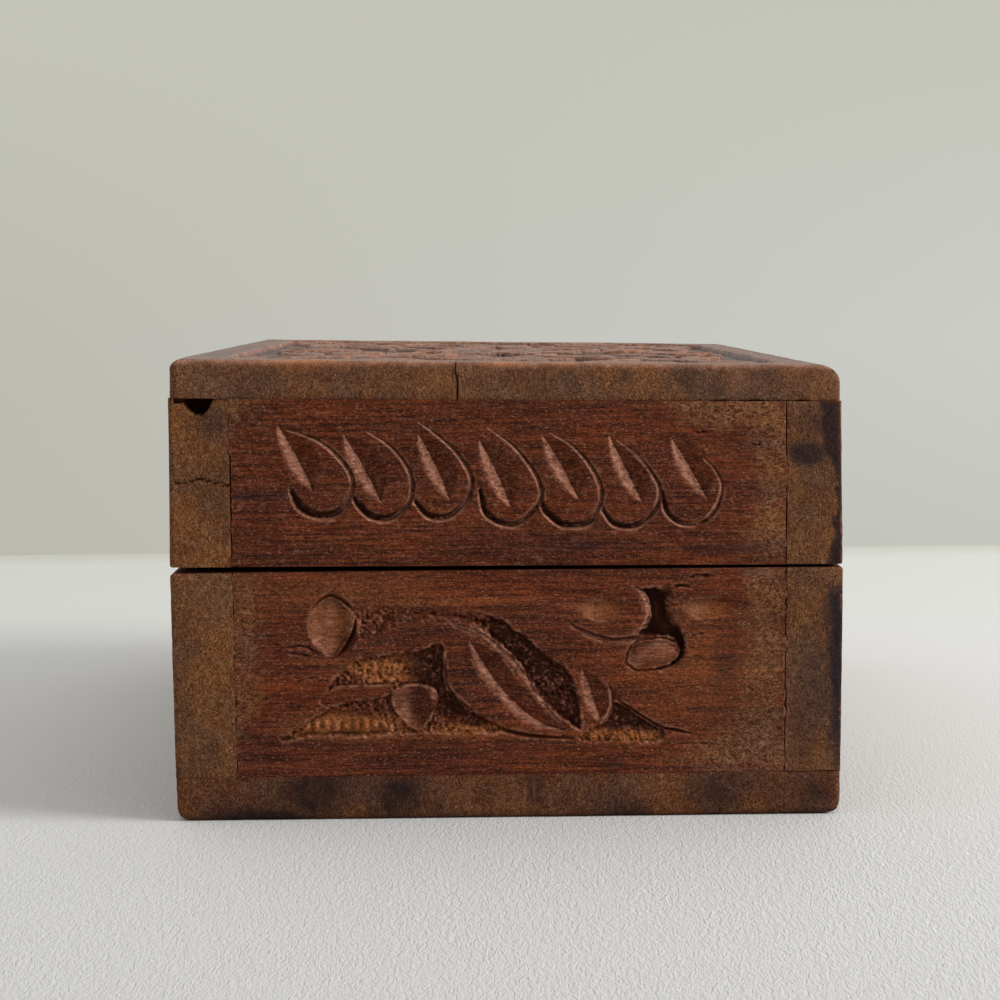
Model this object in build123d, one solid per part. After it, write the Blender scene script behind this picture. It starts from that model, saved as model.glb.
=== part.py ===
from build123d import *
import math
import os

# A small carved hardwood jewelry box, in millimetres. X runs along its length, -Y is the front
# where the lid is lifted, +Y is the back with the hinges, and Z=0 is the surface it stands on.
# Ten butt-jointed boards, glued and pinned, make a tray and a deep lid on two brass butt hinges.

# Outside of the box
box_length = 152.4
box_depth = 101.6

# Boards: long boards run the full length and cover the ends of the end panels
bottom_thickness = 6.5
front_thickness = 8.6
back_thickness = 9.4
end_thickness = 8.5
base_wall_height = 31.3
# The lid was planed by hand, so its walls and top board are lower at the front
lid_wall_height_back = 25.4
lid_wall_height_front = 24.5
top_thickness_back = 6.0
top_thickness_front = 5.5
top_inset = 0.4

# Worn corners and arrises
top_arris = 1.7
bottom_arris = 1.4
upright_arris = 0.8
rim_back_arris = 1.2
rim_front_arris = 0.4

# Carved top: the ground is sunk inside a plain border, and flowers and leaves are left standing
ground_depth = 1.0
relief_drop = 0.15
border_width = 7.4
ground_corner = 12.0
petal_length = 13.2
petal_width = 7.0
petal_ring = 10.0
button_radius = 4.2
petal_count = 8
side_flower_from_middle = 46.0
side_petal_length = 9.6
side_petal_width = 6.4
side_petal_ring = 7.2
side_button_radius = 3.0
side_petal_count = 6
leaf_form_length = 17.0
leaf_form_width = 6.6
small_leaf_form_length = 11.0
small_leaf_form_width = 4.8

# Joint between tray and lid
seam_gap_front = 0.4

# Brass butt hinges, pressed from sheet and rolled round a wire pin
hinge_length = 26.0
hinge_from_end = 32.0
leaf_thickness = 0.8
leaf_depth = 8.0
leaf_gap = 0.1
leaf_recess = 0.4
leaf_side_clearance = 0.1
knuckle_count = 3
knuckle_end_clearance = 0.15
knuckle_wood_clearance = 0.3
curl_seam = 0.2
pin_radius = 0.9
pin_clearance = 0.04
pin_head_radius = 1.4
pin_head_thickness = 0.4
pin_inset = 0.6

# Countersunk brass wood screws in the hinge leaves
screw_length = 7.0
screw_head_radius = 1.4
screw_neck_radius = 0.7
screw_slot_width = 0.4
screw_slot_depth = 0.35
screw_clearance = 0.05
screw_sunk = 0.03
screw_from_leaf_end = 5.0
screw_from_leaf_edge = 3.2

# Cut brads that pin the corners and the bottom board: flat iron wedges with a lip for a head
brad_width = 1.2
brad_tip_width = 0.5
brad_thickness = 0.9
brad_lip = 0.5
brad_lip_depth = 0.6
brad_sunk = 0.3
brad_clearance = 0.05
corner_brad_length = 19.0
bottom_brad_length = 16.0
corner_brad_from_edge = 6.0
bottom_brad_spacing = 48.0

# Places that follow from the sizes above
front_face = -box_depth / 2
back_face = box_depth / 2
front_inner = front_face + front_thickness
back_inner = back_face - back_thickness
left_face = -box_length / 2
right_face = box_length / 2
base_rim = bottom_thickness + base_wall_height
seam_gap_back = 2 * (leaf_thickness - leaf_recess) + leaf_gap
pin_y = back_face - pin_inset
pin_z = base_rim + seam_gap_back / 2
knuckle_bore_radius = pin_radius + pin_clearance
knuckle_radius = knuckle_bore_radius + leaf_thickness
hinge_centres = {"left": left_face + hinge_from_end, "right": right_face - hinge_from_end}


def sloped(at_front, at_back):
    """A height that changes evenly from the front face to the back face, as a function of y."""
    return lambda y: at_front + (at_back - at_front) * (y - front_face) / box_depth


table_level = sloped(0, 0)
bottom_top = sloped(bottom_thickness, bottom_thickness)
base_rim_line = sloped(base_rim, base_rim)
lid_rim_line = sloped(base_rim + seam_gap_front, base_rim + seam_gap_back)
lid_wall_line = sloped(
    base_rim + seam_gap_front + lid_wall_height_front,
    base_rim + seam_gap_back + lid_wall_height_back,
)
lid_top_line = sloped(
    base_rim + seam_gap_front + lid_wall_height_front + top_thickness_front,
    base_rim + seam_gap_back + lid_wall_height_back + top_thickness_back,
)


def board(x0, x1, y0, y1, lower, upper):
    """A board from x0 to x1 and y0 to y1 between two height lines."""
    outline = Polyline(
        (y0, lower(y0)), (y1, lower(y1)), (y1, upper(y1)), (y0, upper(y0)), close=True
    )
    face = make_face(Plane.YZ.offset(x0) * outline)
    return extrude(face, x1 - x0, dir=(1, 0, 0))


def edges_near(solid, axis, within=0.05, **place):
    """Straight edges along an axis whose centres lie at the given x, y or z."""
    found = []
    for edge in solid.edges().filter_by(axis):
        centre = edge.center()
        spots = {"x": centre.X, "y": centre.Y, "z": centre.Z}
        if all(abs(spots[name] - value) < within for name, value in place.items()):
            found.append(edge)
    return found


# Hinge parts are drawn with the pin on the X axis and the open side of each leaf towards Z=0
def turned(outline_points):
    """A solid of revolution about Z from (radius, z) points that start and end on the axis."""
    profile = make_face(Plane.XZ * Polyline(*outline_points, close=True))
    return revolve(profile, Axis.Z)


def screw_form(grow=0.0, mouth=0.0):
    """A countersunk screw pointing down from Z=0, or with grow the hole that holds it."""
    head = screw_head_radius + grow
    neck = screw_neck_radius + grow
    end = -(screw_length + grow)
    return turned([(0, mouth), (head + mouth, mouth), (neck, neck - head), (neck, end), (0, end)])


def screw():
    slot = Box(
        2 * screw_head_radius,
        screw_slot_width,
        screw_slot_depth,
        align=(Align.CENTER, Align.CENTER, Align.MAX),
    )
    return screw_form() - slot


def screw_hole():
    return screw_form(screw_clearance, screw_sunk + screw_clearance)


def brad_form(length, grow=0.0, mouth=0.0):
    """A cut brad pointing down from Z=0, or with grow the hole that holds it."""
    side = brad_width / 2 + grow
    lip = side + brad_lip
    tip = brad_tip_width / 2 + grow
    end = -(length + grow)
    outline = Polyline(
        (-side, mouth),
        (lip, mouth),
        (lip, -brad_lip_depth),
        (side, -brad_lip_depth),
        (tip, end),
        (-tip, end),
        close=True,
    )
    return extrude(make_face(Plane.XZ * outline), brad_thickness / 2 + grow, both=True)


def brad_hole(length):
    """The hole of a sunk brad, open to the face of the board."""
    return brad_form(length, brad_clearance, 2 * brad_sunk)


def knuckle_span(index):
    """Where a knuckle starts and ends along X, with room between it and its neighbours."""
    pitch = hinge_length / knuckle_count
    start = -hinge_length / 2 + index * pitch
    room_before = knuckle_end_clearance if index > 0 else 0
    room_after = knuckle_end_clearance if index < knuckle_count - 1 else 0
    return start + room_before, start + pitch - room_after


def bar_along_x(radius, start, end):
    return Pos((start + end) / 2, 0, 0) * Rot(0, 90, 0) * Cylinder(radius, end - start)


def leaf_screw_places():
    spread = hinge_length / 2 - screw_from_leaf_end
    y = -leaf_depth + screw_from_leaf_edge
    return [(-spread, y), (spread, y)]


def lower_leaf(first_knuckle):
    """A rolled leaf below the plane of the pin, with every second knuckle and gaps between."""
    plate_top = -leaf_gap / 2
    leaf = Box(
        hinge_length,
        leaf_depth,
        leaf_thickness,
        align=(Align.CENTER, Align.MAX, Align.MAX),
    )
    leaf = Pos(0, 0, plate_top) * leaf
    for index in range(first_knuckle, knuckle_count, 2):
        leaf += bar_along_x(knuckle_radius, *knuckle_span(index))
    for index in range(1 - first_knuckle, knuckle_count, 2):
        start, end = knuckle_span(index)
        gap = Box(
            end - start + 2 * knuckle_end_clearance,
            2 * (knuckle_radius + knuckle_wood_clearance),
            4 * knuckle_radius,
        )
        leaf -= Pos((start + end) / 2, 0, 0) * gap
    leaf -= bar_along_x(knuckle_bore_radius, -hinge_length, hinge_length)
    # The open seam where the end of the rolled strip meets its own plate
    seam = Box(
        2 * hinge_length,
        knuckle_radius,
        curl_seam,
        align=(Align.CENTER, Align.MIN, Align.MIN),
    )
    leaf -= Pos(0, -knuckle_radius - curl_seam, plate_top) * seam
    for x, y in leaf_screw_places():
        leaf -= Pos(x, y, plate_top - screw_sunk) * screw_hole()
    return leaf


def hinge_pin():
    """A wire pin peened over at both ends."""
    head_start = hinge_length / 2 + pin_clearance
    head_end = head_start + pin_head_thickness
    pin = bar_along_x(pin_radius, -head_start, head_start)
    pin += bar_along_x(pin_head_radius, -head_end, -head_start)
    return pin + bar_along_x(pin_head_radius, head_start, head_end)


def hinge_housing():
    """What is cut from the board under a leaf: the shallow recess and the groove of the knuckles."""
    length = hinge_length + 2 * leaf_side_clearance
    depth = leaf_depth + leaf_side_clearance
    recess = Box(
        length,
        depth + knuckle_radius,
        leaf_thickness + leaf_gap / 2,
        align=(Align.CENTER, Align.MIN, Align.MAX),
    )
    groove_half = hinge_length / 2 + pin_clearance + pin_head_thickness + knuckle_wood_clearance
    groove = bar_along_x(knuckle_radius + knuckle_wood_clearance, -groove_half, groove_half)
    return Pos(0, -depth, 0) * recess + groove


def over(shape):
    """The same piece for the lid: mirrored through the plane of the pin."""
    return mirror(shape, Plane.XY)


def at_hinge(side, shape):
    return Pos(hinge_centres[side], pin_y, pin_z) * shape


def leaf_screw_pair(cutter=False):
    """The two screws of a lower leaf, or the holes that they need."""
    level = -leaf_gap / 2 - screw_sunk
    one = screw_hole() if cutter else screw()
    return [Pos(x, y, level) * one for x, y in leaf_screw_places()]


# Brads through the long boards into the end grain of the end panels, and up through the bottom
def corner_brad_places(lower, upper):
    """Where corner brads stand: a place and the turn that points a brad into its panel."""
    places = []
    for x in (left_face + end_thickness / 2, right_face - end_thickness / 2):
        for face, turn, inward in ((front_face, 90, 1), (back_face, -90, -1)):
            y = face + inward * brad_sunk
            low = lower(face) + corner_brad_from_edge
            high = upper(face) - corner_brad_from_edge
            places += [Pos(x, y, z) * Rot(turn, 0, 0) for z in (low, high)]
    return places


def bottom_brad_places():
    """Where bottom brads stand, pointing up into the middle of the walls."""
    front_line = front_face + front_thickness / 2
    back_line = back_face - back_thickness / 2
    spots = [(i * bottom_brad_spacing, y) for i in (-1, 0, 1) for y in (front_line, back_line)]
    spots += [(left_face + end_thickness / 2, 0), (right_face - end_thickness / 2, 0)]
    return [Pos(x, y, brad_sunk) * Rot(180, 0, 0) for x, y in spots]


base_corners = corner_brad_places(bottom_top, base_rim_line)
lid_corners = corner_brad_places(lid_rim_line, lid_wall_line)
base_brad_holes = [place * brad_hole(corner_brad_length) for place in base_corners]
lid_brad_holes = [place * brad_hole(corner_brad_length) for place in lid_corners]
bottom_brad_holes = [place * brad_hole(bottom_brad_length) for place in bottom_brad_places()]


def cut_all(solid, tools):
    """Cuts each tool that reaches the solid's box."""
    for tool in tools:
        if solid.bounding_box().overlaps(tool.bounding_box()):
            solid -= tool
    return solid


def long_board(y0, y1, lower, upper, outer_face):
    """A front or back board with its outer upright corners eased."""
    solid = board(left_face, right_face, y0, y1, lower, upper)
    uprights = edges_near(solid, Axis.Z, x=left_face, y=outer_face)
    uprights += edges_near(solid, Axis.Z, x=right_face, y=outer_face)
    return fillet(uprights, upright_arris)


# Leaves of one quarter of the top, from its middle: along the box, across it, and the turn in degrees
quarter_leaves = [
    (18.0, 24.5, 35),
    (31.0, 33.5, -12),
    (47.5, 28.5, 30),
    (61.0, 19.5, 70),
    (30.0, 12.5, 50),
    (5.5, 32.5, 62),
]
quarter_small_leaves = [(59.5, 35.0, -35), (33.5, 22.5, 10)]


def oval_form(x, y, turn, length, width, corners=10):
    """A petal or leaf standing from below the ground up to the level of the relief."""
    turns = [2 * math.pi * i / corners for i in range(corners)]
    outline = [(length / 2 * math.cos(t), width / 2 * math.sin(t)) for t in turns]
    face = make_face(Polyline(*outline, close=True))
    form = extrude(face, ground_depth - relief_drop + 0.5)
    return Pos(x, y, -ground_depth - 0.5) * Rot(0, 0, turn) * form


def flower_forms(x, petals, ring, length, width, button):
    """A ring of petals round a button."""
    forms = [oval_form(x, 0, 0, 2 * button, 2 * button)]
    for i in range(petals):
        turn = 360 * (i + 0.5) / petals
        reach = math.radians(turn)
        forms.append(
            oval_form(x + ring * math.cos(reach), ring * math.sin(reach), turn, length, width)
        )
    return forms


def quarter_forms(places, length, width):
    """The same leaves in each quarter of the top, mirrored."""
    forms = []
    for x, y, turn in places:
        for side in (1, -1):
            for end in (1, -1):
                forms.append(oval_form(end * x, side * y, end * side * turn, length, width))
    return forms


def sunk_ground():
    """What is carved out of the top: the ground inside the border, without the forms left standing."""
    border = top_inset + border_width
    field = RectangleRounded(box_length - 2 * border, box_depth - 2 * border, ground_corner)
    ground = Pos(0, 0, -ground_depth) * extrude(field, ground_depth + 1)
    forms = flower_forms(
        0, petal_count, petal_ring, petal_length, petal_width, button_radius
    )
    for x in (-side_flower_from_middle, side_flower_from_middle):
        forms += flower_forms(
            x,
            side_petal_count,
            side_petal_ring,
            side_petal_length,
            side_petal_width,
            side_button_radius,
        )
    forms += quarter_forms(quarter_leaves, leaf_form_length, leaf_form_width)
    forms += quarter_forms(quarter_small_leaves, small_leaf_form_length, small_leaf_form_width)
    ground = ground - forms
    slope = (lid_top_line(back_face) - lid_top_line(front_face)) / box_depth
    plane = Plane(origin=(0, 0, lid_top_line(0)), x_dir=(1, 0, 0), z_dir=(0, -slope, 1))
    return plane * ground


def bottom_board():
    solid = board(left_face, right_face, front_face, back_face, table_level, bottom_top)
    solid = fillet(solid.edges().filter_by(Axis.Z), upright_arris)
    solid = fillet(solid.faces().sort_by(Axis.Z)[0].edges(), bottom_arris)
    return cut_all(solid, bottom_brad_holes)


def top_board():
    solid = board(
        left_face + top_inset,
        right_face - top_inset,
        front_face + top_inset,
        back_face - top_inset,
        lid_wall_line,
        lid_top_line,
    )
    solid = fillet(solid.edges().filter_by(Axis.Z), upright_arris)
    solid = fillet(solid.faces().sort_by(Axis.Z)[-1].edges(), top_arris)
    return cut_all(solid, [sunk_ground()])


def base_front_board():
    solid = long_board(front_face, front_inner, bottom_top, base_rim_line, front_face)
    solid = fillet(edges_near(solid, Axis.X, y=front_face, z=base_rim), rim_front_arris)
    return cut_all(solid, base_brad_holes + bottom_brad_holes)


def base_back_board():
    solid = long_board(back_inner, back_face, bottom_top, base_rim_line, back_face)
    solid = fillet(edges_near(solid, Axis.X, y=back_face, z=base_rim), rim_back_arris)
    for side in hinge_centres:
        solid -= at_hinge(side, hinge_housing())
        solid = cut_all(solid, [at_hinge(side, hole) for hole in leaf_screw_pair(cutter=True)])
    return cut_all(solid, base_brad_holes + bottom_brad_holes)


def lid_front_board():
    solid = long_board(front_face, front_inner, lid_rim_line, lid_wall_line, front_face)
    rim = lid_rim_line(front_face)
    solid = fillet(edges_near(solid, Axis.X, y=front_face, z=rim), rim_front_arris)
    return cut_all(solid, lid_brad_holes)


def lid_back_board():
    solid = long_board(back_inner, back_face, lid_rim_line, lid_wall_line, back_face)
    rim = lid_rim_line(back_face)
    solid = fillet(edges_near(solid, Axis.X, y=back_face, z=rim), rim_front_arris)
    for side in hinge_centres:
        solid -= at_hinge(side, over(hinge_housing()))
        holes = [at_hinge(side, over(hole)) for hole in leaf_screw_pair(cutter=True)]
        solid = cut_all(solid, holes)
    return cut_all(solid, lid_brad_holes)


def end_panel(x0, lower, upper, holes):
    """An end panel held between the long boards."""
    solid = board(x0, x0 + end_thickness, front_inner, back_inner, lower, upper)
    return cut_all(solid, holes)


parts = {
    "bottom_board": [bottom_board()],
    "base_front_board": [base_front_board()],
    "base_back_board": [base_back_board()],
    "base_left_panel": [
        end_panel(left_face, bottom_top, base_rim_line, base_brad_holes + bottom_brad_holes)
    ],
    "base_right_panel": [
        end_panel(
            right_face - end_thickness,
            bottom_top,
            base_rim_line,
            base_brad_holes + bottom_brad_holes,
        )
    ],
    "top_board": [top_board()],
    "lid_front_board": [lid_front_board()],
    "lid_back_board": [lid_back_board()],
    "lid_left_panel": [end_panel(left_face, lid_rim_line, lid_wall_line, lid_brad_holes)],
    "lid_right_panel": [
        end_panel(right_face - end_thickness, lid_rim_line, lid_wall_line, lid_brad_holes)
    ],
    "base_corner_brads": [place * brad_form(corner_brad_length) for place in base_corners],
    "bottom_board_brads": [
        place * brad_form(bottom_brad_length) for place in bottom_brad_places()
    ],
    "lid_corner_brads": [place * brad_form(corner_brad_length) for place in lid_corners],
}
for side in hinge_centres:
    parts[side + "_hinge_base_leaf"] = [at_hinge(side, lower_leaf(0))]
    parts[side + "_hinge_lid_leaf"] = [at_hinge(side, over(lower_leaf(1)))]
    parts[side + "_hinge_pin"] = [at_hinge(side, hinge_pin())]
    parts[side + "_hinge_base_screws"] = [at_hinge(side, one) for one in leaf_screw_pair()]
    parts[side + "_hinge_lid_screws"] = [at_hinge(side, over(one)) for one in leaf_screw_pair()]

os.makedirs("parts", exist_ok=True)
for name, solids in parts.items():
    shape = solids[0] if len(solids) == 1 else Compound(children=solids)
    export_step(shape, "parts/" + name + ".step")
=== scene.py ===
import math

import bpy
import numpy as np
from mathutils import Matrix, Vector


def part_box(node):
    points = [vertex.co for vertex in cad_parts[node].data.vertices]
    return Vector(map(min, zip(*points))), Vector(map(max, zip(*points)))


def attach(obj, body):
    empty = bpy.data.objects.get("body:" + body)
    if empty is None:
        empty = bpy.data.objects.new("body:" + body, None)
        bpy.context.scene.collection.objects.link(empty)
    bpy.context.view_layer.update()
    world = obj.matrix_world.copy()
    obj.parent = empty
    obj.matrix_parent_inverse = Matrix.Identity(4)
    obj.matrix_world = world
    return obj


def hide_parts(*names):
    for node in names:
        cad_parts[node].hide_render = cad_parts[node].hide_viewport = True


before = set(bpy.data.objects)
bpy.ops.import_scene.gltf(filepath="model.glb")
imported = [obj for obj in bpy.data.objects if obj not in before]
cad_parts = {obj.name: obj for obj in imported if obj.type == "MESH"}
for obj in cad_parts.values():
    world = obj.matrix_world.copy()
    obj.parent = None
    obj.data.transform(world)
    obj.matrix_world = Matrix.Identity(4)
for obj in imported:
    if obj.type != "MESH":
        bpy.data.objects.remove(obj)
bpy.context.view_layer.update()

# The camera looks straight at the box's short end from 34 cm away, a little above the lid.
# Its place and turn come from the box's edges and their vanishing point in the photo.
bpy.ops.object.camera_add(
    location=(-0.41836, 0.00491, 0.07908),
    rotation=(math.radians(84.880), math.radians(0.505), math.radians(-90.704)),
)
camera = bpy.context.object
camera.name = "camera"
camera.data.lens = 82.36
camera.data.sensor_width = 36.0
camera.data.clip_start = 0.01
camera.data.clip_end = 20.0
bpy.context.scene.camera = camera
bpy.context.scene.view_settings.view_transform = "Standard"


# The floor is a pale sheet with a fine pressed grain, lying flat under the box, with painted shade darkening
# it near the camera.
# It ends 29 cm beyond the box's middle, where the photo has its line between floor and wall.
def linear(red, green, blue):
    """A colour read from the photo, 0 to 255, as the linear colour that a shader takes."""
    parts = [c / 255 for c in (red, green, blue)]
    parts = [c / 12.92 if c < 0.04045 else ((c + 0.055) / 1.055) ** 2.4 for c in parts]
    return (*parts, 1.0)


def put(tree, kind, inputs=None, **settings):
    """Adds a shader node; an input may be a number, a colour or another node's output."""
    new = tree.nodes.new(kind)
    for key, value in settings.items():
        setattr(new, key, value)
    for key, value in (inputs or {}).items():
        if isinstance(value, bpy.types.NodeSocket):
            tree.links.new(value, new.inputs[key])
        else:
            new.inputs[key].default_value = value
    return new


def mixed(tree, factor, first, second):
    """Mixes two colours by a factor from 0 to 1."""
    new = put(tree, "ShaderNodeMix", data_type="RGBA")
    for place, value in ((0, factor), (6, first), (7, second)):
        if isinstance(value, bpy.types.NodeSocket):
            tree.links.new(value, new.inputs[place])
        else:
            new.inputs[place].default_value = value
    return new.outputs[2]


def multiplied(tree, first, second):
    colour = mixed(tree, 1.0, first, second)
    colour.node.blend_type = "MULTIPLY"
    return colour


def mixed_value(tree, factor, first, second):
    """Mixes two numbers by a factor from 0 to 1."""
    return put(tree, "ShaderNodeMix", {0: factor, 2: first, 3: second}, data_type="FLOAT").outputs[0]


def ramped(tree, value, low, high, to_low=0.0, to_high=1.0):
    """Maps a value from one range to another and clamps it."""
    ends = {"Value": value, "From Min": low, "From Max": high, "To Min": to_low, "To Max": to_high}
    return put(tree, "ShaderNodeMapRange", ends).outputs["Result"]


def lumpy(tree, place, scale, detail, roughness=0.5, turn=(0, 0, 0), distortion=0.0):
    """Noise over places that are turned and stretched first; returns its value."""
    stretched = put(tree, "ShaderNodeMapping", {"Vector": place, "Rotation": turn, "Scale": scale})
    settings = {"Vector": stretched.outputs[0], "Scale": 1.0, "Detail": detail}
    settings.update({"Roughness": roughness, "Distortion": distortion})
    return put(tree, "ShaderNodeTexNoise", settings).outputs["Fac"]


def new_material(name):
    material = bpy.data.materials.new(name)
    material.use_nodes = True
    tree = material.node_tree
    place = put(tree, "ShaderNodeTexCoord").outputs["Object"]
    return material, tree, tree.nodes["Principled BSDF"], place


def in_mm(tree, place):
    scaled = put(tree, "ShaderNodeVectorMath", {0: place, 1: (1000, 1000, 1000)}, operation="MULTIPLY")
    return scaled.outputs[0]


floor_near_edge = -2.0
floor_far_edge = 0.29
floor_half_width = 2.0
bpy.ops.mesh.primitive_plane_add(size=1, location=((floor_near_edge + floor_far_edge) / 2, 0, -0.0001))
floor = bpy.context.object
floor.name = "floor"
floor.scale = (floor_far_edge - floor_near_edge, 2 * floor_half_width, 1)
bpy.ops.object.transform_apply(location=True, rotation=True, scale=True)
floor_material, tree, shader, place = new_material("floor_sheet")
place = in_mm(tree, place)
grain = lumpy(tree, place, (0.55, 1.6, 1), 2.0, turn=(0, 0, 0.6), distortion=1.2)
along_floor = put(tree, "ShaderNodeSeparateXYZ", {0: place}).outputs[0]
pressed = ramped(tree, along_floor, 60, -110, 0.0, 0.55)
bump = put(tree, "ShaderNodeBump", {"Height": grain, "Distance": 0.0006, "Strength": pressed})
tree.links.new(bump.outputs[0], shader.inputs["Normal"])
# Painted shade: the floor is darker near the camera. At its far edge it fades to the wall's colour.
floor_tone_and_shade = mixed(tree, ramped(tree, along_floor, -175, -60), linear(197, 197, 198), linear(207, 208, 208))
floor_tone_and_shade = mixed(tree, ramped(tree, along_floor, 120, 240), floor_tone_and_shade, linear(206, 208, 204))
floor_tone_and_shade = mixed(tree, ramped(tree, along_floor, 262, 290, 0, 0.7), floor_tone_and_shade, linear(186, 186, 178))
tree.links.new(floor_tone_and_shade, shader.inputs["Base Color"])
shader.inputs["Roughness"].default_value = 0.75
shader.inputs["Specular IOR Level"].default_value = 0.3
floor.data.materials.append(floor_material)

# The room is a pale grey-green wall behind the box, brighter to the right, and dim behind the camera.
# The wall is only the world's colour, so it stands in nobody's way in other views.
world = bpy.data.worlds.new("room")
bpy.context.scene.world = world
world.use_nodes = True
tree = world.node_tree
tree.nodes.clear()
direction = put(tree, "ShaderNodeTexCoord").outputs["Generated"]
toward = put(tree, "ShaderNodeSeparateXYZ", {0: direction})
rightward = ramped(tree, toward.outputs[1], 0.22, -0.22)
wall_low = mixed(tree, rightward, linear(186, 185, 174), linear(196, 198, 190))
wall_middle = mixed(tree, rightward, linear(188, 187, 178), linear(203, 204, 198))
wall = mixed(tree, ramped(tree, toward.outputs[2], -0.11, -0.02), wall_low, wall_middle)
wall = mixed(tree, ramped(tree, toward.outputs[2], -0.02, 0.13), wall, linear(196, 196, 184))
seen = put(tree, "ShaderNodeBackground", {"Color": wall, "Strength": 1.0})
away = ramped(tree, toward.outputs[0], -0.6, 0.5)
room_light = mixed(tree, away, (0.10, 0.097, 0.092, 1), (0.66, 0.66, 0.63, 1))
room_light = mixed(tree, ramped(tree, toward.outputs[2], 0.2, 1.0), room_light, (1.02, 1.0, 0.95, 1))
lighting = put(tree, "ShaderNodeBackground", {"Color": room_light, "Strength": 1.0})
ray = put(tree, "ShaderNodeLightPath")
parts = {0: ray.outputs["Is Camera Ray"], 1: lighting.outputs[0], 2: seen.outputs[0]}
chosen = put(tree, "ShaderNodeMixShader", parts)
put(tree, "ShaderNodeOutputWorld", {"Surface": chosen.outputs[0]})

# One large window-like lamp stands to the right of the box, slightly in front of it and fairly low.
# It throws the box's soft shadow straight to the left, as in the photo.
bpy.ops.object.light_add(type="AREA", location=(-0.30, -1.05, 0.62))
window = bpy.context.object
window.name = "window"
window.data.shape = "RECTANGLE"
window.data.size = 0.55
window.data.size_y = 0.45
window.data.energy = 13.4
window.data.color = (1.0, 0.985, 0.96)
aim = -window.location.normalized()
window.rotation_euler = aim.to_track_quat("-Z", "Y").to_euler()

# The bottom board is one flat hardwood board that the walls stand on, nailed up from below.
# Its end grain shows under the carved end panel; its lower edges are worn round.
mm = 0.001
inner_rim = 0.7


def lines(start, end, fine, coarse=None, fine_for=0.0):
    """Even steps from start to end, or fine steps near both ends and coarse ones between."""
    length = abs(end - start)
    if coarse is None:
        return np.linspace(start, end, round(length / fine) + 1)
    edge = np.linspace(0, fine_for, round(fine_for / fine) + 1)
    middle = np.linspace(fine_for, length - fine_for, round((length - 2 * fine_for) / coarse) + 1)
    steps = np.concatenate([edge[:-1], middle, (length - edge[:-1])[::-1]])
    return start + np.sign(end - start) * steps


def plank(name, axes, across, up, inward):
    """A closed board: a grid for its outer face, its four sides in rings, a narrow rim round its inner
    face and one flat face inside that. Returns the object, its places in mm, the outer face's grid, and 1
    for each place on that face."""
    bpy.ops.object.select_all(action="DESELECT")
    columns = len(across) - 1
    rows = len(up) - 1
    bpy.ops.mesh.primitive_grid_add(x_subdivisions=columns, y_subdivisions=rows, size=1)
    board = bpy.context.object
    board.name = name
    bpy.ops.object.mode_set(mode="EDIT")
    bpy.ops.mesh.select_all(action="SELECT")
    bpy.ops.mesh.region_to_loop()
    for _ in inward:
        bpy.ops.mesh.extrude_edges_move(TRANSFORM_OT_translate={"value": (0, 0, -1)})
    bpy.ops.mesh.edge_face_add()
    bpy.ops.object.mode_set(mode="OBJECT")
    spot = np.empty(len(board.data.vertices) * 3)
    board.data.vertices.foreach_get("co", spot)
    spot = spot.reshape(-1, 3)
    column = np.rint((spot[:, 0] + 0.5) * columns).astype(int)
    row = np.rint((spot[:, 1] + 0.5) * rows).astype(int)
    ring = np.rint(-spot[:, 2]).astype(int)
    places = np.empty_like(spot)
    places[:, axes[0]] = across[column]
    places[:, axes[1]] = up[row]
    places[:, axes[2]] = np.append(inward, inward[-1])[ring]
    for axis, levels in ((axes[0], across), (axes[1], up)):
        middle = (levels[0] + levels[-1]) / 2
        shrunk = middle + (places[:, axis] - middle) * (1 - inner_rim / abs(levels[-1] - middle))
        places[:, axis] = np.where(ring == len(inward), shrunk, places[:, axis])
    grid = np.empty((rows + 1, columns + 1), int)
    outer = np.nonzero(ring == 0)[0]
    grid[row[outer], column[outer]] = outer
    return board, places, grid, (ring == 0) * 1.0


def noise(places, size, seed):
    """Smooth random values from -1 to 1 in space; size is the length of one lump in mm."""
    table = np.random.default_rng(seed).uniform(-1, 1, (32, 32, 32))
    scaled = places / np.array(size, float)
    cell = np.floor(scaled).astype(int)
    part = scaled - cell
    part = part * part * (3 - 2 * part)
    x0, y0, z0 = (cell % 32).T
    x1, y1, z1 = ((cell + 1) % 32).T
    u, v, w = part.T
    low = (table[x0, y0, z0] * (1 - u) + table[x1, y0, z0] * u) * (1 - v)
    low += (table[x0, y1, z0] * (1 - u) + table[x1, y1, z0] * u) * v
    high = (table[x0, y0, z1] * (1 - u) + table[x1, y0, z1] * u) * (1 - v)
    high += (table[x0, y1, z1] * (1 - u) + table[x1, y1, z1] * u) * v
    return low * (1 - w) + high * w


def ramp(value):
    value = np.clip(value, 0, 1)
    return value * value * (3 - 2 * value)


def ease(places, first, second, radius):
    """Rounds the edge where two faces meet; each face is given as (axis, level)."""
    middle = places.mean(0)
    signs = [1 if level > middle[axis] else -1 for axis, level in (first, second)]
    depths = [radius - s * (level - places[:, axis]) for s, (axis, level) in zip(signs, (first, second))]
    reach = np.hypot(depths[0], depths[1])
    outside = (depths[0] > 0) & (depths[1] > 0) & (reach > radius)
    pull = np.where(outside, radius / np.maximum(reach, 1e-9), 1)
    for sign, depth, (axis, level) in zip(signs, depths, (first, second)):
        places[:, axis] = np.where(outside, level - sign * (radius - depth * pull), places[:, axis])


def ease_ends(places, end_x, wear, *edges):
    """Rounds edges at both ends of a board: each is (axis, level, radius, share of wear, least, most)."""
    for side in (-end_x, end_x):
        for axis, level, radius, share, least, most in edges:
            ease(places, (0, side), (axis, level), np.clip(radius + share * wear, least, most))


def bits(places, size, seed, lift=0.0):
    """Scattered bits: noise from 0 to 1, lifted or lowered before it is cut off at 0."""
    return np.clip(noise(places, size, seed) + lift, 0, 1)


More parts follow.
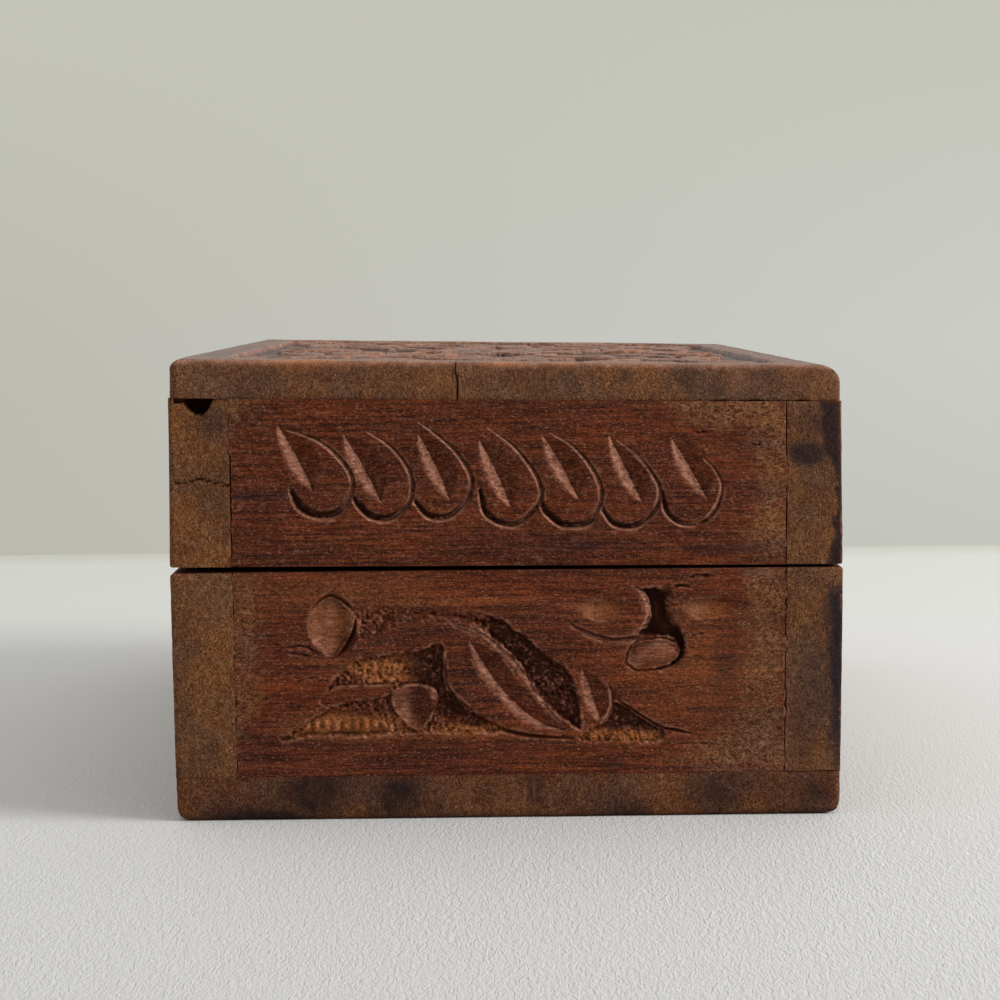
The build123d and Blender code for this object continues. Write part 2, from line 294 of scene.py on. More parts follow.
def ripples(places, size, seed, height):
    """Low ripples that a plane or a saw leaves."""
    return height * (noise(places, size, seed) + 1)


def most(*parts):
    """The largest of several values at each place."""
    return np.maximum.reduce(np.broadcast_arrays(*parts))


def on_plane(a, b):
    return np.column_stack([a, b, np.zeros(len(a))])


def spots(a, b, *blobs):
    """Soft round patches: each blob is (a, b, half width, half height) in mm."""
    total = np.zeros(len(a))
    for ca, cb, ra, rb in blobs:
        total = most(total, np.exp(-(((a - ca) / ra) ** 2 + ((b - cb) / rb) ** 2)))
    return total


def write_places(board, places):
    """Writes the places to the mesh and points its faces outwards."""
    board.data.vertices.foreach_set("co", (places * mm).ravel())
    board.data.update()
    bpy.context.view_layer.objects.active = board
    board.select_set(True)
    bpy.ops.object.mode_set(mode="EDIT")
    bpy.ops.mesh.select_all(action="SELECT")
    bpy.ops.mesh.normals_make_consistent(inside=False)
    bpy.ops.object.mode_set(mode="OBJECT")


# Of these masks, the second paints shade into cuts, cracks and hollows; the third is wear with a painted
# highlight;
# the fourth is raw wood with a painted highlight; the last is a painted highlight on facets that face the
# lamp.
mask_names = ("end", "cut", "worn", "raw", "filler", "stain", "shaved")


def finish_board(board, places, node, slot, body, material, **masks):
    """Writes the places and the painted masks to the mesh, and puts the board in its CAD node's place."""
    write_places(board, places)
    for name in mask_names:
        values = np.asarray(masks.get(name, 0.0)) * np.ones(len(places))
        layer = board.data.attributes.new(name, "FLOAT", "POINT")
        layer.data.foreach_set("value", np.clip(values, 0, 1).astype(np.float32))
    bpy.ops.object.shade_smooth_by_angle(angle=math.radians(40))
    board.data.materials.append(material)
    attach(board, body)
    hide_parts(node)


def timber_group():
    """Figure of solid wood: the grain runs along the vector's X axis, in mm."""
    group = bpy.data.node_groups.new("timber", "ShaderNodeTree")
    group.interface.new_socket("Vector", in_out="INPUT", socket_type="NodeSocketVector")
    figures = ("Streak", "Pore", "Tone", "Hue", "Fibre", "Grit", "Speck", "Height")
    for name in figures:
        group.interface.new_socket(name, in_out="OUTPUT", socket_type="NodeSocketFloat")
    start = group.nodes.new("NodeGroupInput")
    result = group.nodes.new("NodeGroupOutput")

    def figure(scale, detail, roughness=0.55, turn=(0, 0, 0), distortion=0.0):
        return lumpy(group, start.outputs["Vector"], scale, detail, roughness, turn, distortion)

    streak = ramped(group, figure((0.09, 2.3, 2.3), 5.0, 0.72), 0.38, 0.63)
    pore = ramped(group, figure((0.45, 4.2, 4.2), 3.0, 0.6), 0.57, 0.64)
    tone = ramped(group, figure((0.03, 0.10, 0.10), 4.0, 0.6), 0.36, 0.64)
    hue = ramped(group, figure((0.035, 0.15, 0.15), 3.0, 0.55, (1.1, 0, 0)), 0.38, 0.62)
    speck = ramped(group, figure((2.0, 4.0, 4.0), 3.0, 0.8, (0.6, 0, 0)), 0.575, 0.645)
    grit = ramped(group, figure((2.2, 4.2, 4.2), 3.0, 0.75), 0.34, 0.67)
    curl = figure((0.8, 1.45, 1.05), 2.0, 0.6, (0.5, 0, 0), 1.5)
    from_middle = put(group, "ShaderNodeMath", {0: curl, 1: 0.5}, operation="SUBTRACT")
    from_middle = put(group, "ShaderNodeMath", {0: from_middle.outputs[0]}, operation="ABSOLUTE")
    wire = ramped(group, from_middle.outputs[0], 0.0, 0.09, 1.0, 0.0)
    strands = ramped(group, grit, 0, 1, 0.35, 1)
    fibre = put(group, "ShaderNodeMath", {0: wire, 1: strands}, operation="MULTIPLY").outputs[0]
    height = put(group, "ShaderNodeMath", {0: grit, 1: pore}, operation="SUBTRACT").outputs[0]
    for name, value in zip(figures, (streak, pore, tone, hue, fibre, grit, speck, height)):
        group.links.new(value, result.inputs[name])
    return group


timber = timber_group()


def wood_material(
    name, grain, shift, long_grain, end_colours, fibrous, roughness=0.68, shine=0.12, soot=(35, 25, 28)
):
    """Worn hardwood. Long-grain and end-grain colours come from the photo; masks come from the mesh."""
    material, tree, shader, place = new_material(name)
    place = put(tree, "ShaderNodeVectorMath", {0: in_mm(tree, place), 1: shift}, operation="ADD").outputs[0]
    if grain == "Y":
        parts = put(tree, "ShaderNodeSeparateXYZ", {0: place})
        turned = {0: parts.outputs[1], 1: parts.outputs[0], 2: parts.outputs[2]}
        place = put(tree, "ShaderNodeCombineXYZ", turned).outputs[0]
    figure = put(tree, "ShaderNodeGroup", node_tree=timber)
    tree.links.new(place, figure.inputs["Vector"])
    masks = {}
    for mask in mask_names:
        masks[mask] = put(tree, "ShaderNodeAttribute", attribute_name=mask).outputs["Fac"]
    grit = figure.outputs["Grit"]
    body = mixed(tree, figure.outputs["Streak"], linear(*long_grain[0]), linear(*long_grain[1]))
    ends = mixed(tree, grit, linear(*end_colours[0]), linear(*end_colours[1]))
    body_shade = mixed(tree, grit, (0.42, 0.40, 0.38, 1), (1.57, 1.58, 1.62, 1))
    body = multiplied(tree, body, body_shade)
    pore_depth = ramped(tree, figure.outputs["Pore"], 0, 1, 0, 0.7)
    body = mixed(tree, pore_depth, body, linear(30, 10, 5))
    fibres = ramped(tree, figure.outputs["Fibre"], 0, 1, 0, fibrous)
    ends = mixed(tree, fibres, ends, linear(206, 157, 113))
    end_share = put(tree, "ShaderNodeMath", {0: masks["end"], 1: masks["filler"]}, operation="MAXIMUM")
    colour = mixed(tree, end_share.outputs[0], body, ends)
    cast = mixed(tree, figure.outputs["Hue"], (0.90, 0.88, 0.98, 1), (1.16, 1.0, 0.74, 1))
    colour = multiplied(tree, colour, cast)
    shade = mixed(tree, figure.outputs["Tone"], (0.78, 0.76, 0.77, 1), (1.18, 1.18, 1.15, 1))
    colour = multiplied(tree, colour, shade)
    specks = ramped(tree, figure.outputs["Speck"], 0, 1, 0, 0.52)
    colour = mixed(tree, specks, colour, linear(184, 134, 112))
    # Raw wood in pale orange, also used as a painted highlight on lit cuts.
    raw = mixed(tree, grit, linear(104, 50, 24), linear(230, 148, 84))
    colour = mixed(tree, masks["raw"], colour, raw)
    # Painted shade: near black in cuts, cracks and hollows.
    colour = mixed(tree, ramped(tree, masks["cut"], 0, 1, 0, 0.92), colour, linear(36, 9, 3))
    # Painted highlight: pale pink on the facets that face the lamp.
    shaved = mixed(tree, figure.outputs["Streak"], linear(110, 58, 40), linear(228, 166, 138))
    shaved = mixed(tree, pore_depth, shaved, linear(70, 32, 20))
    colour = mixed(tree, ramped(tree, masks["shaved"], 0, 1, 0, 0.7), colour, shaved)
    stained = ramped(tree, grit, 0, 1, 1.0, 0.78)
    stained = put(tree, "ShaderNodeMath", {0: masks["stain"], 1: stained}, operation="MULTIPLY")
    colour = mixed(tree, stained.outputs[0], colour, linear(*soot))
    # Pale wear on edges and specks, with a painted highlight on ridges and lit walls.
    pale = mixed(tree, grit, linear(140, 84, 62), linear(216, 158, 130))
    colour = mixed(tree, ramped(tree, masks["worn"], 0, 1, 0, 0.68), colour, pale)
    tree.links.new(colour, shader.inputs["Base Color"])
    gloss = ramped(tree, masks["shaved"], 0, 1, roughness, 0.38)
    gloss = mixed_value(tree, end_share.outputs[0], gloss, 0.8)
    tree.links.new(gloss, shader.inputs["Roughness"])
    shader.inputs["Specular IOR Level"].default_value = shine
    height = mixed_value(tree, end_share.outputs[0], figure.outputs["Height"], figure.outputs["Fibre"])
    strength = ramped(tree, end_share.outputs[0], 0, 1, 0.45, 1.0)
    bump = put(tree, "ShaderNodeBump", {"Height": height, "Distance": 0.00022, "Strength": strength})
    tree.links.new(bump.outputs[0], shader.inputs["Normal"])
    return material


length_x = 76.2
half_y = 50.8
rim_z = 37.8
floor_z = 6.5


def leaned(places):
    """The tray is a little narrower at the table than at its rim."""
    places[:, 1] *= 1 - 0.006 * np.clip(1 - places[:, 2] / rim_z, 0, 1)


board, places, grid, face = plank(
    "bottom",
    (0, 1, 2),
    lines(-length_x, length_x, 0.35, 2.0, 4.2),
    lines(-half_y, half_y, 0.35),
    lines(0, floor_z, 0.3),
)
x, y, z = places.T.copy()
uneven = 0.25 * noise(places, 9, 11)
for side_y in (-half_y, half_y):
    ease_ends(places, length_x, uneven, (1, side_y, 1.1, 0, 0, 2))
ease_ends(places, length_x, uneven, (2, 0, 0.8, 1, 0.4, 1.4))
for side_y in (-half_y, half_y):
    ease(places, (1, side_y), (2, 0), np.clip(2.2 + uneven, 1.7, 2.7))
at_end = np.abs(x) > length_x - 0.01
pit = bits(places, (3, 0.45, 0.7), 12, -0.25) * 0.18 + ripples(places, 2.5, 13, 0.05)
places[:, 0] -= np.sign(x) * at_end * pit
at_side = np.abs(y) > half_y - 0.01
places[:, 1] -= np.sign(y) * at_side * ripples(places, (12, 2, 1.2), 14, 0.05)
leaned(places)
a = -y
stain = 1.3 * spots(a, z, (-29.5, 4.0, 5.0, 4.2), (-38, 0.4, 9, 1.6), (-17, 3.4, 4.0, 3.4))
faint = spots(a, z, (18, 0.8, 4, 1.8), (4, 4, 1.2, 4), (31.5, 3.4, 4, 3.2), (47, 3, 3, 3))
photo_end = x < -70
stain = np.clip(most(stain, 0.75 * faint), 0, 1) * photo_end * (0.9 + 0.25 * noise(places, 1.3, 16))
stain += 0.35 * bits(places, (30, 7, 4), 15) * ramp((3.5 - z) / 3)
bottom_wood = wood_material(
    "wood_bottom",
    grain="X",
    shift=(31.0, 7.0, 3.0),
    long_grain=((58, 28, 15), (108, 60, 36)),
    end_colours=((36, 15, 9), (113, 60, 38)),
    fibrous=0.6,
)
end = ramp((np.abs(x) - (length_x - 0.6)) / 0.5)
pits = 0.9 * spots(a, z, (-42.9, 6.2, 0.45, 0.35), (-40.6, 6.3, 0.8, 0.30), (43.2, 6.4, 0.5, 0.2)) * photo_end
scratches = (
    (0.8, 3.6, 0.13, 2.6), (2.5, 3.0, 0.13, 2.2), (3.9, 4.2, 0.13, 1.6),
    (6.4, 2.4, 0.16, 1.0), (-6.0, 3.4, 0.12, 2.4),
)
scratches = 0.5 * spots(a, z, *scratches) * photo_end
masks = {"end": end, "stain": stain, "cut": pits, "worn": scratches}
finish_board(board, places, "bottom_board", "plain_wood", "base", bottom_wood, **masks)

# The tray's two end panels stand between the long boards. A vine is carved into each by hand: two buds and
# a long leaf on the left, a small leaf and a curl with a button on the right, all at face level, and the
# ground around them cut down with gouges and left rough with rows of small chips.
panel_front = -42.2
panel_back = 41.4
end_thickness = 8.5


def spline(points, steps=8):
    """A smooth line through points read from the photo."""
    p = np.array(points, float)
    p = np.vstack([2 * p[0] - p[1], p, 2 * p[-1] - p[-2]])
    t = np.linspace(0, 1, steps, endpoint=False)[:, None]
    parts = []
    for p0, p1, p2, p3 in zip(p, p[1:], p[2:], p[3:]):
        bend = (2 * p0 - 5 * p1 + 4 * p2 - p3) * t**2
        twist = (3 * p1 - p0 - 3 * p2 + p3) * t**3
        parts.append(0.5 * (2 * p1 + (p2 - p0) * t + bend + twist))
    return np.vstack([*parts, p[-2]])


def along(a, b, line, reach):
    """For each place, how far it is from a line, whether it lies to its left, and how far along it is."""
    distance = np.full(len(a), 1e3)
    left = np.zeros(len(a), bool)
    share = np.zeros(len(a))
    low = line.min(0) - reach
    high = line.max(0) + reach
    near = np.nonzero((a > low[0]) & (a < high[0]) & (b > low[1]) & (b < high[1]))[0]
    na, nb = a[near], b[near]
    best = np.full(len(near), 1e3)
    side = np.zeros(len(near), bool)
    part = np.zeros(len(near))
    steps = np.hypot(*np.diff(line, axis=0).T)
    total = steps.sum()
    done = 0.0
    for (a0, b0), (a1, b1), step in zip(line, line[1:], steps):
        da, db = a1 - a0, b1 - b0
        t = np.clip(((na - a0) * da + (nb - b0) * db) / max(step * step, 1e-9), 0, 1)
        gap = np.hypot(na - a0 - t * da, nb - b0 - t * db)
        closer = gap < best
        best = np.where(closer, gap, best)
        side = np.where(closer, da * (nb - b0) - db * (na - a0) > 0, side)
        part = np.where(closer, (done + t * step) / total, part)
        done += step
    distance[near] = best
    left[near] = side
    share[near] = part
    return distance, left, share


def stroke(a, b, points, left, right, depth, widths=(0, 1, 1, 0), depths=None, hollow=False):
    """A cut along a line: a V with a wall of its own width on each side, or a round gouge."""
    line = spline(points)
    distance, on_left, share = along(a, b, line, max(left, right) + 0.2)
    marks = np.linspace(0, 1, len(widths))
    wide = np.interp(share, marks, widths)
    deep = wide if depths is None else np.interp(share, np.linspace(0, 1, len(depths)), depths)
    half = np.where(on_left, left, right) * np.maximum(wide, 1e-3)
    across = np.clip(1 - distance / half, 0, 1)
    if hollow:
        across = 1 - (1 - across) ** 2
    return depth * deep * across


def inside(a, b, points, smooth=True):
    """How far each place lies inside an outline in mm; outside it is negative."""
    loop = spline([*points, points[0]], 5) if smooth else np.array([*points, points[0]], float)
    distance, _, _ = along(a, b, loop, 4.0)
    odd = np.zeros(len(a), bool)
    for (a0, b0), (a1, b1) in zip(loop, loop[1:]):
        if b0 == b1:
            continue
        crosses = (b0 > b) != (b1 > b)
        odd ^= crosses & (a < a0 + (b - b0) * (a1 - a0) / (b1 - b0))
    return np.where(odd, distance, -distance)


def chips(a, b, angle, pitch, seed):
    """Rows of small chisel chips, 0 to 1, lying at an angle."""
    flat = on_plane(a, b)
    c = math.cos(math.radians(angle))
    s = math.sin(math.radians(angle))
    t = (a * c + b * s + 0.8 * noise(flat, 1.9, seed) + 0.35 * noise(flat, 0.8, seed + 2)) / pitch
    tooth = t - np.floor(t)
    return np.clip(tooth * (0.5 + 0.7 * noise(flat, 1.2, seed + 1)) + 0.15, 0, 1)


def vine(a, b):
    """The carved vine. Returns the depth, the pale chips with painted highlights, the painted shade and the
    painted highlights on lit cuts.
    """
    flat = on_plane(a, b)
    rag = 0.18 * noise(flat, 0.8, 21) + 0.12 * noise(flat, 0.4, 22)
    upper_band = [
        (-24.2, 32.3), (-18.7, 32.9), (-11.9, 32.6), (-5.3, 31.5), (-1.0, 30.6), (1.1, 28.9),
        (3.5, 27.2), (5.9, 24.7), (8.9, 22.9), (10.4, 19.7), (11.2, 15.5), (10.9, 13.2),
        (8.0, 15.0), (5.6, 17.2), (2.9, 21.2), (1.2, 24.0), (-1.0, 26.1), (-3.5, 28.2),
        (-5.9, 29.4), (-9.6, 29.9), (-15.4, 29.6), (-18.7, 28.2), (-21.8, 27.0), (-23.4, 28.4),
    ]
    lower_field = [
        (-27.6, 19.6), (-27.0, 20.8), (-24.5, 23.2), (-22.8, 24.5), (-18.7, 25.2), (-14.2, 25.8),
        (-10.0, 26.8), (-9.5, 24.2), (-9.2, 20.4), (-7.1, 17.8), (-4.1, 15.6), (0.1, 13.5),
        (-1.0, 12.9), (-5.3, 12.7), (-11.0, 12.9), (-17.5, 12.7), (-25.3, 12.4), (-31.4, 12.4),
        (-34.9, 11.9), (-30.9, 15.0), (-27.6, 17.1), (-28.6, 18.2),
    ]
    hollow = [
        (19.6, 34.9), (22.5, 35.1), (25.0, 35.0), (25.3, 33.0), (25.7, 30.9), (26.9, 28.4),
        (27.1, 26.0), (26.5, 24.0), (25.3, 22.9), (24.5, 23.2), (25.9, 24.9), (25.3, 26.6),
        (23.2, 27.3), (21.0, 27.5), (19.6, 27.9), (21.0, 29.1), (21.5, 31.4), (20.9, 33.4),
    ]
    corner = [
        (15.7, 17.6), (17.0, 17.4), (19.8, 15.5), (21.9, 14.2), (24.2, 12.9), (22.6, 11.3),
        (18.4, 11.1), (11.8, 11.2), (10.6, 12.4), (12.8, 13.6), (14.7, 14.8), (15.5, 16.2),
    ]
    bud_one = [
        (-28.7, 32.7), (-26.7, 33.7), (-24.7, 32.7), (-23.3, 30.7), (-23.7, 29.0), (-24.7, 26.9),
        (-26.6, 24.9), (-28.4, 25.9), (-29.9, 28.0), (-30.3, 29.7), (-29.7, 31.4),
    ]
    bud_two = [
        (-17.7, 19.4), (-16.7, 20.1), (-14.3, 20.6), (-11.6, 20.1), (-10.6, 18.7), (-11.2, 16.3),
        (-12.4, 14.2), (-13.4, 13.2), (-14.7, 13.7), (-16.7, 15.6), (-17.7, 17.4),
    ]
    stalk = [
        (-28.5, 17.8), (-27.5, 19.2), (-26.1, 20.2), (-23.8, 20.4), (-20.7, 20.4), (-17.7, 20.4),
        (-17.9, 19.1), (-20.1, 18.4), (-23.8, 17.9), (-26.8, 17.2),
    ]
    small_leaf = [
        (10.2, 22.9), (11.8, 22.7), (13.5, 21.6), (14.8, 20.0), (15.6, 17.9), (15.1, 16.0),
        (13.9, 14.6), (12.2, 14.0), (11.3, 15.2), (10.8, 18.3), (10.2, 20.8),
    ]
    button = [
        (18.2, 23.6), (18.6, 25.3), (19.8, 26.5), (21.9, 26.9), (24.6, 26.7), (26.0, 25.4),
        (25.7, 24.0), (23.9, 23.0), (21.5, 22.6), (19.4, 22.7),
    ]
    in_upper = inside(a, b, upper_band) + rag
    in_lower = inside(a, b, lower_field) + rag
    in_hollow = inside(a, b, hollow) + 0.7 * rag
    in_corner = inside(a, b, corner) + rag
    upright = chips(a, b, 8, 1.15, 31)
    slanted = chips(a, b, 38, 0.95, 41)
    crumbly = 0.30 * noise(flat, 0.75, 54) + 0.22 * noise(flat, 0.36, 55)
    beads = 0.5 + 0.5 * np.cos((a + 29.2) * 2 * math.pi / 1.5)
    beads *= ramp(1 - np.abs(b - 14.3 - 0.25 * noise(flat, 2.0, 51)) / 1.3)
    left_part = ramp((-2.0 - a) / 3.0)
    toothed = spots(a, b, (-8.5, 31.2, 3.6, 1.6))
    upper_deep = 0.75 + 0.55 * ramp((a + 9) / 6) + crumbly * (1 - 0.5 * toothed)
    upper_deep += 0.6 * (left_part * toothed * upright + (1 - left_part) * 0.8 * slanted)
    beaded = [(-32.0, 12.3), (-30.4, 15.2), (-27.2, 16.8), (-22.0, 16.6), (-18.8, 14.5), (-19.5, 12.4)]
    beaded = ramp(inside(a, b, beaded) / 0.8)
    recess = spots(a, b, (-11.6, 22.6, 5.2, 4.0), (-8.0, 17.0, 3.0, 2.6), (-5.0, 15.0, 3.0, 1.4))
    lower_deep = 0.60 + 0.75 * ramp((recess - 0.2) / 0.5) + 0.8 * crumbly * (1 - 0.7 * beaded)
    lower_deep += 0.4 * upright * (1 - beaded) + 0.5 * beaded * (1 - beads)
    corner_deep = 0.50 + 0.7 * ramp((b - 12.6) / 1.6) + 0.3 * upright + 0.6 * crumbly
    depth = ramp((in_upper + 0.4 * left_part) / (0.6 + 1.6 * left_part)) * upper_deep
    shaved = np.zeros(len(a))

    def cut(points, left, right, deep, *shape, hollow=False):
        np.maximum(depth, stroke(a, b, points, left, right, deep, *shape, hollow=hollow), out=depth)

    # Paints a highlight on a stroke's wall that faces the lamp.
    def shave(share, points, left, right, widths, soft):
        wall = stroke(a, b, points, left, right, 1, widths, (1, 1)) / soft
        np.maximum(shaved, share * ramp(wall), out=shaved)

    ridge = [
        (8.0, 14.6), (5.7, 17.0), (3.0, 21.0), (1.2, 23.8),
        (-1.0, 25.9), (-3.5, 28.0), (-6.5, 29.3), (-10.0, 29.8),
    ]
    cut(ridge, 1.35, 0.2, 0.6, (0.3, 0.7, 0.9, 1, 1, 0.9, 0.6, 0))
    hollow_wall = 0.6 + 2.0 * ramp((a - 21.8) / 3.0) * ramp((b - 27) / 3)
    depth = most(
        depth,
        ramp(in_lower / 0.6) * lower_deep,
        ramp(in_hollow / hollow_wall) * (1.9 + 0.25 * noise(flat, 1.4, 53)),
        ramp(in_corner / 0.5) * corner_deep,
    )
    in_stalk = ramp((inside(a, b, stalk) + 0.25) / 0.4)
    depth = depth * (1 - in_stalk) + in_stalk * 0.28
    # Buds: each is one deep scoop, gentle on its left and undercut on its lower right side.
    bud_crown = [(-30.0, 31.0), (-28.7, 33.0), (-26.7, 34.1), (-24.6, 33.1), (-22.8, 31.4)]
    cut(bud_crown, 0.7, 0.5, 0.9, (0, 0.5, 1, 1, 0.4))
    cut([(-23.0, 30.4), (-23.3, 28.8), (-24.3, 26.7), (-26.3, 24.4)], 1.1, 0.6, 1.6, (0.5, 1, 1, 0))
    scoop = [(-26.2, 24.6), (-25.6, 28.0), (-25.6, 33.6)]
    scoop = 0.10 + stroke(a, b, scoop, 4.6, 2.4, 1.15, (0.6, 1, 1, 0.7), hollow=True)
    scoop += 0.12 * bits(flat, 0.6, 52) * ramp((a + 25.2) / 1.2)
    bud = ramp((inside(a, b, bud_one) + 0.5 * rag + 0.1) / 0.3)
    depth = depth * (1 - bud) + bud * scoop
    # Painted highlight on the first bud: its face lighter, more on its left, with glints at its lower left
    # and right rim.
    bud_glow = 0.36 * bud
    glint = spots(a, b, (-28.7, 27.0, 1.2, 1.5), (-23.9, 29.9, 0.45, 1.7), (-26.9, 30.6, 1.2, 1.8))
    shaved = most(
        0.45 * bud * ramp((-24.6 - a) / 2.5) * (0.5 + 0.5 * ramp((29.5 - b) / 4)),
        0.85 * bud * glint * np.clip(0.75 + 0.6 * noise(flat, 0.9, 59), 0, 1),
    )
    shave(0.75, ridge, 0.9, 0.01, (0.3, 0.6, 0.8, 1, 1, 0.8, 0.4, 0), 0.5)
    spoon = [(-13.2, 13.6), (-13.9, 16.4), (-13.9, 20.3)]
    spoon = 0.10 + stroke(a, b, spoon, 3.4, 2.6, 1.1, (0.4, 1, 1, 0.5), hollow=True)
    bud = ramp((inside(a, b, bud_two) + 0.4 * rag + 0.1) / 0.3)
    depth = depth * (1 - bud) + bud * spoon
    # Painted highlight on the second bud's left and at its lower left and right rim.
    shaved = most(
        shaved,
        0.4 * bud * ramp((-13.4 - a) / 2.4) * (0.5 + 0.5 * ramp((18.0 - b) / 3)),
        0.8 * bud * spots(a, b, (-15.8, 16.0, 0.9, 1.6), (-11.4, 18.8, 0.4, 1.0)),
    )
    # The long leaf is cut to a valley along its middle: a short wall with a painted highlight on its left, a
    # long one on its right.
    midrib = [(9.0, 12.9), (4.4, 14.7), (0.8, 17.6), (-1.6, 20.4), (-4.0, 24.0), (-5.9, 27.4)]
    under_leaf = [
        (9.9, 12.0), (5.0, 12.3), (0.3, 13.1), (-4.0, 15.2), (-7.0, 17.5), (-9.3, 20.3), (-9.5, 24.0),
    ]
    cut(midrib, 1.5, 3.6, 0.95, (0, 0.7, 1, 0.8, 1, 0))
    shave(0.8, midrib, 1.5, 0.01, (0, 0.7, 1, 0.8, 1, 0), 0.6)
    cut(under_leaf, 0.5, 0.5, 0.7, (0.4, 1, 1, 1, 0.6))
    blade = [(14.1, 14.8), (13.2, 17.2), (12.4, 19.8), (11.2, 22.6)]
    leaf = ramp((inside(a, b, small_leaf) + 0.05) / 0.4)
    depth = depth * (1 - leaf) + leaf * (0.10 + stroke(a, b, blade, 1.7, 2.9, 0.8, (0.5, 1, 1, 0)))
    shave(0.75 * leaf, blade, 1.7, 0.01, (0.5, 1, 1, 0), 0.5)
    rim = [(15.0, 20.8), (15.9, 18.4), (15.5, 16.0), (14.2, 14.3)]
    cut(rim, 0.6, 0.5, 0.85, (0, 1, 1, 0.4))
    shave(1, rim, 0.01, 0.5, (0, 1, 1, 0.4), 0.3)
    # The curl: two thumb gouges, a curved cut, the button and the cut running off to the right.
    thumb = ((0.3, 1, 1, 0.9, 0.5), (0.1, 1, 0.75, 0.45, 0.1))
    cut([(11.2, 31.7), (14.6, 31.5), (19.3, 31.8)], 1.55, 1.6, 1.0, *thumb, hollow=True)
    cut([(26.9, 31.6), (30.2, 31.7), (35.0, 32.2)], 1.6, 1.6, 1.0, *thumb, hollow=True)
    tendril = [(7.9, 30.8), (11.0, 28.7), (14.5, 27.4), (16.8, 27.1), (19.6, 27.5)]
    cut(tendril, 0.35, 0.75, 0.8, (0, 0.7, 1, 1, 0.8))
    shave(0.5, tendril, 0.01, 0.6, (0, 0.7, 1, 1, 0.6), 0.3)
    hook = [(18.6, 35.4), (20.5, 34.2), (21.6, 31.4), (21.0, 29.2), (19.2, 27.8)]
    cut(hook, 0.2, 1.1, 0.6, (0, 0.8, 1, 1, 0.5))
    shave(0.75, hook, 0.01, 0.8, (0, 0.8, 1, 1, 0.4), 0.3)
    knob = inside(a, b, button) + 0.6 * rag
    ring = 0.35 + 0.5 * ramp((a - 20.5) / 3.0)
    depth = most(depth, ring * ramp(1 - np.abs(knob + 0.25) / 0.4))
    on_knob = ramp((knob + 0.05) / 0.35)
    depth = depth * (1 - on_knob) + on_knob * (0.55 - 0.50 * ramp(knob / 1.7) + 0.06 * noise(flat, 0.9, 57))
    # Painted highlights on the button's tip and top edge and on the thumb gouges.
    knob_shine = 0.15 + 0.6 * spots(a, b, (18.8, 23.6, 1.4, 0.9), (23.4, 26.2, 2.4, 0.6))
    thumb_shine = 0.45 * spots(a, b, (12.9, 31.7, 1.7, 1.1), (28.8, 31.6, 1.7, 1.1))
    shaved = most(shaved, on_knob * knob_shine, thumb_shine)
    runner = [(15.6, 18.7), (18.2, 16.8), (20.5, 15.2), (23.3, 13.6), (25.4, 13.2), (29.2, 12.3)]
    cut(runner, 0.35, 0.8, 0.9, (0, 0.8, 1, 0.8, 0.7, 0))
    # Slips and cracks around the carving.
    rough = 0.75 + 0.5 * noise(flat, 0.5, 61)
    for points, wide, deep in (
        ([(27.0, 36.2), (28.8, 36.7), (31.0, 36.8)], 0.35, 0.6),
        ([(24.6, 34.6), (26.0, 35.2), (28.0, 35.0)], 0.40, 0.8),
        ([(27.4, 27.4), (28.6, 27.7), (30.0, 28.0)], 0.20, 0.4),
        ([(-32.8, 20.7), (-30.8, 21.5), (-28.6, 21.9)], 0.18, 0.4),
        ([(-34.2, 26.2), (-31.1, 26.6), (-28.4, 25.3)], 0.45, 0.5),
        ([(-33.6, 25.6), (-31.6, 25.3), (-29.4, 25.0)], 0.30, 0.4),
        ([(25.2, 10.8), (28.0, 11.1), (31.8, 10.9)], 0.18, 0.3),
    ):
        depth = most(depth, stroke(a, b, points, wide, wide, deep, (0, 1, 0.7, 1, 0)) * rough)
    band = (
        (-28, 14.2, 6.5, 1.9), (-20, 14.0, 4.0, 1.8), (-6.0, 13.2, 7.0, 0.9), (-20.0, 23.2, 5.5, 1.7),
        (19.5, 11.9, 4.5, 0.9), (13.0, 12.6, 2.0, 1.0), (-18.6, 21.4, 4.5, 0.5),
    )
    sunk = ramp(most(in_upper, in_lower, in_corner) / 0.5)
    upper_rim = spots(a, b, (-12, 32.9, 9, 0.45), (-3.0, 33.4, 6, 0.35))
    # Raw wood in the chips of the sunk ground, and painted highlights on the lit bud and the thumb gouges.
    raw = most(
        np.clip(1.2 * spots(a, b, *band), 0, 1) * most(sunk, 0.3) * (0.6 + 0.4 * upright),
        bud_glow * (0.7 + 0.3 * noise(flat, 1.1, 58)),
        0.16 * spots(a, b, (28, 22, 9, 8), (-26, 34.5, 16, 3)),
        0.18 * sunk * upright * ramp((-6 - a) / 4) * ramp((b - 28) / 2),
        0.75 * spots(a, b, (14.0, 31.6, 2.6, 1.15), (29.9, 31.5, 2.7, 1.15)),
        0.45 * upper_rim * (0.6 + 0.4 * noise(flat, 0.8, 56)),
    )
    # Painted shade darkening the hollow, the deep recesses and parts of the sunk ground.
    recess_shade = most(
        ramp((in_hollow + 0.3) / hollow_wall) * (1 - on_knob) * 0.95,
        0.75 * ramp(recess * 1.6 - 0.5) * ramp(in_lower / 0.5),
        0.75 * ramp(in_upper / 0.5) * ramp((a + 4.0) / 5) * (1 - 0.6 * slanted),
        0.7 * ramp(in_corner / 0.5) * ramp((b - 12.9) / 1.0),
    )
    return depth, raw, recess_shade, shaved


